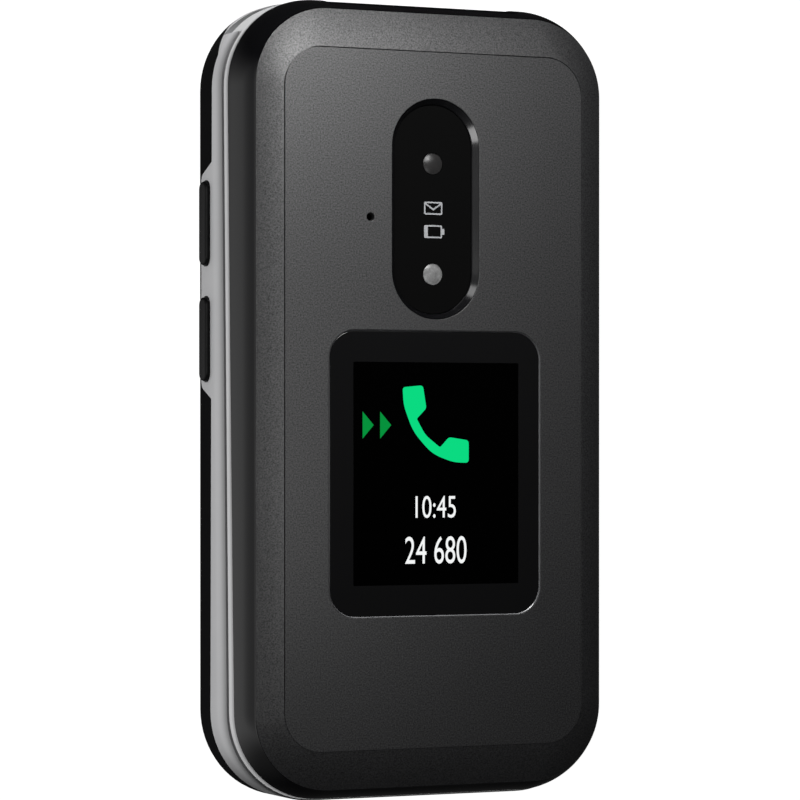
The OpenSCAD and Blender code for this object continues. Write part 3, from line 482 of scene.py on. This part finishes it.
# Spark-eroded polycarbonate: a dark satin whose pits and grains show as light and dark specks.
# The grain is 0.2 mm, just coarse enough to show
charcoal = finish_of(
    "textured_polycarbonate",
    "#151516",
    "#121213",
    grain=0.2,
    patch=5,
    bump=0.008,
    rough=(0.50, 0.56),
    sparkle=0.26,
)
# Moulded ABS with a fine spark-eroded matt: a dull even black
matt_black = finish_of(
    "moulded_abs",
    "#0d0d0e",
    "#0a0a0b",
    grain=0.25,
    bump=0.008,
    rough=(0.7, 0.8),
    shader={"Specular IOR Level": 0.04},
)
# The side keys are the same moulding, worn to a satin
side_key = finish_of(
    "satin_side_key",
    "#0b0b0c",
    "#09090a",
    bump=0.006,
    shader={"Specular IOR Level": 0.2},
)
# A light grey on the narrow chamfer round the display: a painted highlight line, which a lamp of
# its own brightens further
painted_highlight_edge = finish_of("painted_highlight_edge", "#6c6c6e", "#626264", grain=0.4, bump=0.001, rough=(0.2, 0.25))
# Polished ABS: mirror gloss with a faint moulding waviness
piano = finish_of(
    "polished_abs",
    "#050506",
    "#070708",
    grain=9,
    patch=20,
    rough=(0.07, 0.1),
    shader={"IOR": 1.45},
)
# The dish round the camera: the same plastic with a softer polish, which spreads its glints
soft_piano = finish_of(
    "soft_polished_abs", "#050506", "#070708", grain=9, patch=20, bump=0.003, rough=(0.17, 0.2)
)
# Satin silver paint over a moulded frame: fine flakes in a bright grey, with painted shade in the
# narrow hollow of the strip and painted light round the free end
bright_silver = finish_of(
    "bright_silver_paint",
    "#e5e5e6",
    "#dfdfe0",
    grain=0.12,
    bump=0.002,
    rough=(0.3, 0.4),
    painted_seam_shade=[(0.0, 0.95), (0.7, 1.0), (1.0, 0.85), (1.35, 0.55), (1.9, 0.55), (2.6, 1.0), (3.0, 1.0)],
    painted_end_light=1.22,
    shader={"Metallic": 0.3},
)
# The lower band's paint, a shade darker. Painted shade darkens it over the last 3 mm towards the
# parting line, a little towards its lower edge, and round the free end
silver = finish_of(
    "silver_paint",
    "#d4d4d5",
    "#cdcdcf",
    grain=0.12,
    bump=0.002,
    rough=(0.33, 0.42),
    painted_seam_shade=[
        (-7.0, 0.86),
        (-3.9, 0.92),
        (-3.0, 1.0),
        (-2.3, 0.97),
        (-1.7, 0.87),
        (-1.1, 0.68),
        (-0.5, 0.48),
        (-0.1, 0.42),
        (0.5, 0.42),
    ],
    painted_end_light=0.38,
    shader={"Metallic": 0.3},
)
# Keys of moulded polycarbonate, satin from handling, in three colours
key_grey, key_green, key_red = (
    finish_of(name, light, dark, rough=(0.35, 0.45))
    for name, light, dark in (
        ("moulded_key", "#1d1d1f", "#19191b"),
        ("green_key", "#0f7a3e", "#0c6d37"),
        ("red_key", "#a31d22", "#93191e"),
    )
)
# Printed lacquer: white on the keys, a quiet grey behind the camera's window
lacquer = finish_of("white_lacquer", "#d9dadb", "#cfd0d1", bump=0.001)
sign_grey = finish_of("printed_sign", "#77787a", "#6f7072", bump=0.001, rough=(0.3, 0.4))
# Toughened glass over a black print and the smoked window: polished, with the faintest waviness
glass, smoked = (
    finish_of(
        name,
        light,
        dark,
        grain=12,
        patch=25,
        bump=0.0006,
        rough=(0.03, 0.05),
        shader={"IOR": 1.5},
    )
    for name, light, dark in (
        ("toughened_glass", "#090909", "#0a0a0b"),
        ("smoked_window", "#050505", "#060606"),
    )
)
# The crystal panel where nothing is lit: the deepest black on the object
lcd_black = finish_of(
    "crystal_panel",
    "#000000",
    "#010101",
    grain=12,
    patch=25,
    bump=0.0004,
    rough=(0.03, 0.05),
    shader={"Specular IOR Level": 0.1},
)
lit_green = lit("lit_green", "#08da81")
lit_dim_green = lit("lit_dim_green", "#04913c")
lit_white = lit("lit_white", "#f4f6f6")
# Coated camera glass: a dim grey disc without a hard glint
lens_glass = finish_of(
    "coated_lens",
    "#161616",
    "#1f1e1e",
    grain=1,
    patch=0.9,
    bump=0.003,
    rough=(0.28, 0.34),
    shader={"IOR": 1.25},
)
# The lamp's clear cover over its pale filling: a mottled light grey
lamp_clear = finish_of(
    "lamp_lens",
    "#6e6e6e",
    "#2c2c2c",
    grain=0.6,
    patch=0.7,
    bump=0.04,
    rough=(0.2, 0.3),
    shader={"IOR": 1.4},
)
# Fibre-glass board under green resist, with its weave in the relief
board = finish_of("board_resist", "#1d5a38", "#174c2f", grain=0.8, rough=(0.3, 0.4))
# Pressed stainless steel with rolling lines
steel = finish_of(
    "pressed_steel",
    "#a8aaac",
    "#9c9ea0",
    grain=0.4,
    bump=0.002,
    rough=(0.28, 0.4),
    stretch=(1, 0.05, 1),
    shader={"Metallic": 1.0},
)
# Inner metals, from the bright coil to the dull can: drawn, plated, turned or pressed
spring, gold, brass, domes, can = (
    finish_of(
        name, light, dark, grain=grain, bump=bump, rough=rough, shader={"Metallic": metallic}
    )
    for name, light, dark, grain, bump, rough, metallic in (
        ("spring_steel", "#8d8f92", "#7f8184", 0.3, 0.002, (0.25, 0.35), 1.0),
        ("gold_plate", "#caa24a", "#bd9440", 0.3, 0.001, (0.25, 0.32), 1.0),
        ("turned_brass", "#b8944c", "#a98541", 0.25, 0.002, (0.3, 0.4), 1.0),
        ("dome_film", "#c2b27c", "#b5a56f", 0.5, 0.001, (0.25, 0.35), 0.8),
        ("aluminium_can", "#9a9da1", "#8e9195", 0.5, 0.002, (0.3, 0.42), 1.0),
    )
)
# Inner mouldings: dark housings, the clear light guide, the amber circuit film and soft plugs
small_part = finish_of("dark_moulding", "#2a2a2c", "#242426", rough=(0.45, 0.55))
clear = finish_of(
    "clear_polycarbonate",
    "#c8ccd0",
    "#bfc3c7",
    grain=3,
    bump=0.001,
    rough=(0.08, 0.12),
    shader={"Transmission Weight": 0.7},
)
amber = finish_of("polyimide_film", "#b5762a", "#a86a24", grain=1, bump=0.002, rough=(0.25, 0.35))
rubber = finish_of("black_rubber", "#161617", "#121213", grain=0.2, bump=0.006, rough=(0.6, 0.7))

BY_SLOT = {
    "black_plastic": matt_black,
    "charcoal_texture": charcoal,
    "silver_paint": silver,
    "piano_black": piano,
    "key_plastic": key_grey,
    "ring_silver": silver,
    "call_green": key_green,
    "end_red": key_red,
    "dark_glass": glass,
    "display_stack": lcd_black,
    "board_green": board,
    "steel_sheet": steel,
    "spring_steel": spring,
    "contact_gold": gold,
    "bush_brass": brass,
    "dome_film": domes,
    "cell_can": can,
    "dark_part": small_part,
    "clear_plastic": clear,
    "flex_amber": amber,
    "rubber_plug": rubber,
}
slot_of = {p["node"]: p["material_slot"] for p in frame["record"]["subparts"]}
for node, obj in frame["nodes"].items():
    obj.data.materials.clear()
    obj.data.materials.append(smoked if node == "camera_window" else BY_SLOT[slot_of[node]])

# ---------- shells ----------

DIGIT_KEYS = ["key_%d" % i for i in range(1, 10)] + ["key_star", "key_0", "key_hash"]
OTHER_KEYS = ["left_soft_key", "right_soft_key", "call_key", "end_key", "ok_key", "direction_ring"]
back = dressed("battery_cover", matt_black, edge=0.1)
# What shows only when the flip is open
inside = [
    dressed(node, BY_SLOT[slot_of[node]], edge=0.1)
    for node in ("keypad_plate", "inner_bezel")
]
inside += [frame["nodes"][node] for node in ("inner_glass", "flip_bumpers")]
band = dressed("mid_frame", silver, edge=0.22)
strip = dressed("flip_frame", bright_silver, edge=0.1)
inside.append(dressed("base_chassis", matt_black))
for node in ("volume_up_key", "volume_down_key"):
    dressed(node, side_key)
for node in DIGIT_KEYS + OTHER_KEYS:
    inside.append(dressed(node, BY_SLOT[slot_of[node]]))


def two_toned(obj, point, normal, second):
    """Paints a shell beyond a plane in a second finish, with its faces cut along the plane."""
    bm = bmesh.new()
    bm.from_mesh(obj.data)
    every = bm.verts[:] + bm.edges[:] + bm.faces[:]
    bmesh.ops.bisect_plane(bm, geom=every, dist=1e-7, plane_co=point, plane_no=normal)
    bm.to_mesh(obj.data)
    bm.free()
    centre = np.zeros(len(obj.data.polygons) * 3)
    obj.data.polygons.foreach_get("center", centre)
    beyond = (centre.reshape(-1, 3) - point) @ normal > 0
    obj.data.materials.append(second)
    obj.data.polygons.foreach_set("material_index", beyond.astype(np.int32))


# At the hinge end the silver dips over the back's corners
two_toned(back, np.array([0, 48.6, 4.75]) * MM, np.array([0, 0.6, 0.8]), silver)


def lean(z):
    """How far the flip's wall has leaned in at a height: upright below the hinge axis, then an arc
    that has leaned by the flare at the wall's top."""
    rise = WALL_TOP - AXIS_Z
    bow = (WALL_FLARE**2 + rise**2) / (2 * WALL_FLARE)
    h = np.clip(z - AXIS_Z, 0, None)
    return bow - np.sqrt(bow**2 - h**2)


def flip_wall():
    """Glossy wall: its outer face leans in along the arc, from above the strip to the rim, and
    its section is carried round the flip. Between the knuckles it starts above the barrel."""
    gap, edge, lip, thick = 0.05, 0.1, 2.6, 1.2
    path = loop(FLIP_W, FLIP_L, CORNER_R, steps=40, across=161, along=60)
    x, y = path[0].T
    foot = seam_at(y) + STRIP_TOP + gap
    foot = np.where((np.abs(x) < KNUCKLE_X) & (y > 0), OVER_BARREL, foot)
    level = np.ones((1, len(foot)))
    share = np.linspace(0, 1, 25)[:, None]
    outer_z = foot + edge + (WALL_TOP - edge - foot - edge) * share
    outer = -lean(outer_z)
    # A quarter round of the edge's radius at the brow and at the toe
    t = np.linspace(0, TAU / 4, 5)[:, None]
    brow_z = (WALL_TOP - edge + edge * np.sin(t[1:])) * level
    brow = (-lean(WALL_TOP - edge) - edge * (1 - np.cos(t[1:]))) * level
    toe_z = foot + edge - edge * np.cos(t[:-1])
    toe = -lean(foot) - edge * (1 - np.sin(t[:-1]))
    inner_z = np.concatenate([WALL_TOP * level, foot + 0.02 * level])
    inner = np.concatenate([-lip * level, -thick - lean(foot) * level])
    out = np.concatenate([toe, outer, brow, inner])
    up = np.concatenate([toe_z, outer_z, brow_z, inner_z])
    wall = skin(carry(path, out, up), ring_profile=True)
    return piece("flip_wall_gloss", wall, "flip", piano, ["flip_wall"])


def front_cover():
    """Textured cover with the cut edge round its display. Its border is ruled from the crease
    down to the rim with a crown of a tenth of a millimetre. Its field is a flat plate inside a
    narrow groove, with the openings cut through it."""
    high, crown, width = PHONE_T - 0.04, 0.1, 0.09
    crease = loop(CREASE_W, CREASE_L, CREASE_R, steps=24)
    flare = 2 * WALL_FLARE
    rim = loop(FLIP_W - flare, FLIP_L - flare, CORNER_R - WALL_FLARE, steps=24)
    # The two mouldings meet flush at the top left corner, and nearly so along the free end: shut
    # falls off with the fourth power of the distance, and rises smoothly over the last 7.5 mm
    x, y = crease[0].T
    distance = np.hypot(x + 19.6, y - 44.4)
    t = np.clip((-38.0 - y) / 7.5, 0, 1)
    shut = np.maximum(np.exp(-((distance / 2.6) ** 4)), 0.85 * t * t * (3 - 2 * t))
    # The section: three points up the groove's side, the border's fall, the rim and the underside
    u = np.linspace(0, 1, 15)[1:]
    share = np.concatenate([[0, 0, 0], u, [1, 1, 0]])[:, None, None]
    fall = high - (high - RIM_Z) * u + crown * 4 * u * (1 - u)
    out = np.concatenate([[-width, -0.02, 0.03], 0 * u, [0, -0.1, 0.2]])[:, None] + 0 * shut
    up = np.concatenate([[18.7, 18.86, 18.94], fall, [RIM_Z - 0.1, WALL_TOP, WALL_TOP]])
    up = up[:, None] + 0 * shut
    out[1:3] -= 0.05 * shut
    up[2] += 0.035 * shut
    points = (1 - share) * crease[0] + share * rim[0]
    normals = (1 - share) * crease[1] + share * rim[1]
    grid = np.concatenate([points + out[..., None] * normals, up[..., None]], -1)
    ruled = skin(grid, ring_profile=True)
    border = piece("cover_border", ruled, "flip", charcoal, sharp=50)
    window = loop(WINDOW_W, WINDOW_L + 0.1, WINDOW_R)[0] + [0, WINDOW_Y]
    pill = loop(PILL_W, PILL_L, PILL_W / 2 - 0.01, steps=28, across=2)[0] + [0, PILL_Y]
    angle = np.arange(32) * TAU / 32
    mic = np.stack([MIC_X + MIC_R * np.cos(angle), MIC_Y + MIC_R * np.sin(angle)], -1)
    outline = crease[0] - (width * (1 - shut))[:, None] * crease[1]
    thick, edge = 1.1, 0.06
    mesh = tidy(flat_shape([outline, window, pill, mic], PHONE_T - thick, PHONE_T, edge))
    plate = place(
        "cover_field", mesh, "flip", charcoal, ["flip_cover"], sharp=40
    )
    path = loop(WINDOW_W - 0.04, WINDOW_L + 0.06, WINDOW_R, steps=24)
    path = (path[0] + [0, WINDOW_Y], path[1])
    section = [(0.0, 18.97), (-0.03, 18.98), (-0.12, 18.86), (-0.12, 18.6), (0.0, 18.6)]
    surround = section_round(path, section)
    cut = piece("display_surround", surround, "flip", painted_highlight_edge)
    return border, plate, cut


def camera_dish():
    """Glossy sloping edge of the camera's opening: its section falls straight from the cover's
    face to the window, carried round the long opening."""
    path = loop(PILL_W - 0.1, PILL_L - 0.1, PILL_W / 2 - 0.06, steps=36, across=2)
    path = (path[0] + [0, PILL_Y], path[1])
    t = np.linspace(0, 1, 9)
    slope = np.stack([-0.02 - 0.63 * t, 18.97 - 0.8 * t], -1)
    section = np.concatenate([[(0, 18.93)], slope, [(-0.66, 18.14), (-0.66, 17.6), (0, 17.6)]])
    dish = section_round(path, section)
    return piece("camera_dish", dish, "flip", soft_piano, ["camera_bezel"])


def lenses():
    """The camera's front lens and the lamp's: shallow domes turned about their axes, each in a
    narrow ring."""
    ring = LENS_R - 0.02
    cap = np.linspace(0, 1, 9)[::-1]
    domes = []
    for name, y, slot, look, crown in (
        ("camera_lens", LENS_Y, "dark_part", lens_glass, 0.28),
        ("lamp_lens", LAMP_Y, "clear_plastic", lamp_clear, 0.22),
    ):
        dome = zip(0.02 + (LENS_R - 0.12) * cap, 17.97 + crown * (1 - cap**2))
        profile = [(ring, 17.9), (ring, PILL_FLOOR), (ring - 0.05, 18.02), *dome]
        domes.append(piece(name, capped(turned(profile, 0, y)), "flip", look))
    return domes


border, field, cut = front_cover()
dish = camera_dish()
front = [flip_wall(), border, field, dish, frame["nodes"]["camera_window"], *lenses()]

# ---------- display and signs ----------


def box_outline(x0, x1, y0, y1, r=0.0):
    """A rectangle's corners, rounded by r."""
    corners = [(x1, y0, r), (x1, y1, r), (x0, y1, r), (x0, y0, r)]
    return rounded(corners) if r else np.array(corners)[:, :2]


def stroke(points, width):
    """A line of some width as the outline round it, for a line of straight runs."""
    points = np.asarray(points, float)
    run = np.diff(points, axis=0)
    run /= np.linalg.norm(run, axis=1, keepdims=True)
    side = np.stack([-run[:, 1], run[:, 0]], -1)
    mid = side[:-1] + side[1:]
    mid /= (mid * side[:-1]).sum(1, keepdims=True)
    side = np.concatenate([side[:1], mid, side[-1:]]) * width / 2
    return np.concatenate([points + side, (points - side)[::-1]])


def handset(x, y, wide, tall):
    """A plain telephone handset, standing on its curve: an arc of a grip between two blocks."""
    corners = np.array(
        [
            (-4.90, 4.75, 0.45), (-1.95, 5.05, 0.5), (-1.45, 1.80, 0.35), (-2.85, 0.30, 0.2),
            (-1.60, -2.00, 0.8), (0.55, -3.75, 0.25), (1.85, -2.30, 0.35), (4.75, -2.75, 0.5),
            (4.75, -5.95, 0.5), (2.60, -5.90, 1.0), (-0.60, -4.70, 1.5), (-3.40, -1.50, 1.5),
            (-4.75, 2.20, 1.0),
        ]
    )
    outline = rounded(corners, steps=6)
    low, high = outline.min(0), outline.max(0)
    return (outline - (low + high) / 2) * [wide, tall] / (high - low) + [x, y]


def sign(name, meshes, look, body="flip", turn=None):
    """Several thin shapes as one printed or lit sign."""
    return place(name, tidy(joined(meshes), turn), body, look, sharp=60)


def printed(outlines, on=GLASS_TOP, thick=SKIN):
    """A thin print with these outlines on a surface at a height."""
    return flat_shape(outlines, on, on + thick)


def frame_outline(x0, x1, y0, y1, r, inner_r, inner_x0):
    """A rectangle and the smaller one inside it, as the two outlines of a drawn frame."""
    inner = box_outline(inner_x0, x1 - LINE, y0 + LINE, y1 - LINE, inner_r)
    return [box_outline(x0, x1, y0, y1, r), inner]


# Glass and lit panel of the outer display
window = loop(WINDOW_W - 0.3, WINDOW_L - 0.2, WINDOW_R - 0.15)[0] + [0, WINDOW_Y]
plate = tidy(flat_shape([window], GLASS_TOP - 0.8, GLASS_TOP, edge=0.05))
front.append(place("display_glass", plate, "flip", glass, ["outer_glass"]))
half = PANEL_W / 2
panel = box_outline(PANEL_X - half, PANEL_X + half, PANEL_FOOT, PANEL_HEAD, 0.15)
plate = tidy(flat_shape([panel], GLASS_TOP - 0.02, GLASS_TOP + 0.008))
front.append(place("display_panel", plate, "flip", lcd_black))

# What the panel shows: a handset, two arrows and plain figures
grip = handset(PANEL_X - 0.13, -3.2, 9.67, 10.17)
sign("handset_sign", [printed([grip])], lit_green)
arrows = [
    printed([np.array([(x, -1.55), (x + 1.6, -3.32), (x, -5.1)])])
    for x in (PANEL_X - 10.78, PANEL_X - 8.25)
]
sign("arrow_signs", arrows, lit_dim_green)
figures = [
    lettering("10:45", 2.9, PANEL_X - 0.15, -14.1, GLASS_TOP, SKIN, 5.9),
    lettering("24 680", 3.6, PANEL_X - 0.12, -19.8, GLASS_TOP, SKIN, 9.0),
]
sign("display_figures", figures, lit_white)

# Two signs between the lens and the lamp: an envelope and a battery
flap = stroke([(-1.12, 25.98), (0.07, 25.15), (1.26, 25.98)], LINE)
pole = box_outline(1.3, 1.7, 21.85, 22.65, 0.1)
for name, outlines, extra in (
    ("message_sign", frame_outline(-1.27, 1.41, 24.48, 26.18, 0.25, 0.12, -1.27 + LINE), flap),
    ("battery_sign", frame_outline(-1.27, 1.36, 21.39, 23.10, 0.2, 0.1, -0.72), pole),
):
    drawn = [printed(outlines, PILL_FLOOR), printed([extra], PILL_FLOOR, 0.018)]
    front.append(sign(name, drawn, sign_grey))

# ---------- key legends ----------


def legend(node, meshes, look=lacquer):
    """A key's sign, which rides on the key."""
    shown = sign(node + "_legend", meshes, look, node + "_body", on_seam)
    inside.append(shown)


for i, (node, figure) in enumerate(zip(DIGIT_KEYS, "123456789*0#")):
    x, y = (i % 3 - 1) * DIGIT_STEP_X, DIGIT_Y - DIGIT_STEP_Y * (i // 3)
    tall = 3.2 if figure == "*" else 4.6
    legend(node, [lettering(figure, tall, x, y, KEY_TOP, SKIN)])
for node, x in (("left_soft_key", -SOFT_KEY_X), ("right_soft_key", SOFT_KEY_X)):
    dash = box_outline(x - 2.2, x + 2.2, SOFT_KEY_Y - 0.35, SOFT_KEY_Y + 0.35, 0.2)
    legend(node, [printed([dash], KEY_TOP)])
for node, x in (("call_key", -SOFT_KEY_X), ("end_key", SOFT_KEY_X)):
    legend(node, [printed([handset(x, CALL_KEY_Y, 4.4, 4.6)], KEY_TOP)])
arrow = np.array([(-1.3, 0.0), (1.3, 0.0), (0.0, 1.3)])
marks = []
for c, s, away in ((1, 0, 6.5), (0, 1, 7.9), (-1, 0, 6.5), (0, -1, 7.9)):
    turn = np.array([[c, -s], [s, c]])
    marks.append(printed([arrow @ turn.T + turn @ [0, away] + [0, RING_Y]], KEY_TOP))
legend("direction_ring", marks, key_grey)

# ---------- camera, floor and light ----------

# The camera looks at a point of the front from a distance in metres. Its focal length and its
# upward shift are in pixels of a frame of 800
YAW, PITCH = math.radians(25.42), math.radians(-0.31)
AIM = Vector((-5.26, -8.0, 19.0)) * MM
DISTANCE = 0.47767
FRAME_PX, FOCUS_PX, SHIFT_PX = 800, 3638.8, 60.72


def aimed(name, data, place_at, target):
    """Adds a lamp or camera that looks from one place at another."""
    obj = bpy.data.objects.new(name, data)
    bpy.context.scene.collection.objects.link(obj)
    obj.location = place_at
    obj.rotation_euler = (Vector(place_at) - Vector(target)).to_track_quat("Z", "Y").to_euler()
    return obj


lens = bpy.data.cameras.new("camera")
lens.sensor_width = 36
lens.lens = FOCUS_PX / FRAME_PX * lens.sensor_width
lens.shift_y = SHIFT_PX / FRAME_PX
lens.clip_start = 0.01
right = Vector((math.cos(YAW), 0, math.sin(YAW)))
ahead = Vector((math.sin(YAW), math.tan(PITCH), -math.cos(YAW))).normalized()
camera = bpy.data.objects.new("camera", lens)
bpy.context.scene.collection.objects.link(camera)
camera.matrix_world = Matrix.Translation(AIM - DISTANCE * ahead) @ Matrix(
    (right, right.cross(ahead), -ahead)
).transposed().to_4x4()
bpy.context.scene.camera = camera

# A white floor, 60 m across so that no view sees its edge
far, down = 30, -0.0002
corners = [(-far, -far, down), (far, -far, down), (far, far, down), (-far, far, down)]
floor_mesh = bpy.data.meshes.new("floor")
floor_mesh.from_pydata(corners, [], [(0, 1, 2, 3)])
floor = bpy.data.objects.new("floor", floor_mesh)
bpy.context.scene.collection.objects.link(floor)
# Matt white paper with an even light of its own: plain white to the eye all round the phone
paper = bpy.data.materials.new("white_paper")
paper.use_nodes = True
for key, value in (
    ("Base Color", (0.4, 0.4, 0.4, 1)),
    ("Roughness", 0.9),
    ("Specular IOR Level", 0.0),
    ("Emission Color", (1, 1, 1, 1)),
    ("Emission Strength", 1.0),
):
    paper.node_tree.nodes["Principled BSDF"].inputs[key].default_value = value
floor_mesh.materials.append(paper)
floor.visible_glossy = False


def softbox(name, at, size, power, target=(0, 0, 0.01), only=None, tall=None):
    """A soft light, square or of another height. It may shine on a group of pieces alone."""
    data = bpy.data.lights.new(name, "AREA")
    data.shape = "RECTANGLE"
    data.size = size
    data.size_y = tall or size
    data.energy = power
    lamp = aimed(name, data, at, target)
    lamp.visible_camera = False
    lamp.light_linking.receiver_collection = only


def group_of(name, pieces):
    """A group of pieces that some lamps shine on alone."""
    group = bpy.data.collections.new(name)
    for obj in pieces:
        group.objects.link(obj)
    return group


# Three near lamps make the front's fall of light from its top left corner
on_front = group_of("front_pieces", front)
near_size = 0.04
for name, at, power in (
    ("key_light", (-0.0100, 0.0750, 0.090), 0.194),
    ("low_light", (-0.0166, -0.0124, 0.080), 0.022),
    ("right_light", (0.060, 0.120, 0.150), 0.015),
):
    softbox(name, at, near_size, power, only=on_front)
# One large soft light from the left shines on everything
softbox("left_light", (-1.1, 0.2, 0.9), 1.0, 6)
# A card beyond the hinge end brightens the silver round the corner
on_silver = group_of("silver_pieces", [band, strip, back])
softbox("hinge_card", (0.12, 0.8, 0.16), 0.5, 9.5, only=on_silver)
# A low wide card draws the display's cut edge
on_edge = group_of("edge_pieces", [cut])
edge_at = (0, -0.02, 0.0187)
softbox("edge_card", (-0.02, 0.42, 0.075), 0.5, 4, edge_at, on_edge, tall=0.12)
# Two cards that only the camera's dish mirrors
on_dish = group_of("dish_pieces", [dish])
dish_at = (0.006, 0.026, 0.0185)
softbox("dish_card_low", (-0.266, -0.075, 0.079), 0.14, 0.45, dish_at, on_dish)
softbox("dish_card_high", (-0.227, 0.197, 0.061), 0.10, 0.16, dish_at, on_dish)
# The keys and the inner side of the flip have a soft light of their own
on_inside = group_of("inside_pieces", inside)
softbox("inside_light", (-0.3, -0.45, 0.8), 0.6, 8, only=on_inside)

world = bpy.data.worlds.new("studio")
world.use_nodes = True
sky = world.node_tree
seen = add(sky, "ShaderNodeTexCoord").outputs["Object"]
way = add(sky, "ShaderNodeSeparateXYZ", {"Vector": seen})


def ramp(value, start, end, low, high):
    """Goes smoothly from one level to another as a value goes from start to end."""
    inputs = {"Value": value, "From Min": start, "From Max": end, "To Min": low, "To Max": high}
    return add(sky, "ShaderNodeMapRange", inputs, interpolation_type="SMOOTHSTEP").outputs[0]


# What the gloss sees: a bright table on the left that dims far off, towards the hinge, towards
# the free end and overhead, over a faint glow all round
table = ramp(way.outputs["X"], -1.0, -0.05, 1.0, 0.01)
distant = ramp(way.outputs["X"], -1.0, -0.88, 0.5, 1.0)
hinge_way = ramp(way.outputs["Y"], -0.15, 0.6, 1.08, 0.0)
free_way = ramp(way.outputs["Y"], -0.75, -0.25, 0.22, 1.0)
under = ramp(way.outputs["Z"], 0.1, 0.4, 1.0, 0.0)
glow = 0.015
level = table
for share in (hinge_way, distant, free_way):
    level = add(sky, "ShaderNodeMath", {0: level, 1: share}, operation="MULTIPLY").outputs[0]
level = add(sky, "ShaderNodeMath", {0: level, 1: under, 2: glow}, operation="MULTIPLY_ADD")
level = level.outputs[0]
sky.links.new(level, sky.nodes["Background"].inputs["Strength"])
sky.nodes["Background"].inputs["Color"].default_value = (1, 1, 1, 1)
bpy.context.scene.world = world
bpy.context.scene.view_settings.view_transform = "Standard"

bpy.context.view_layer.update()
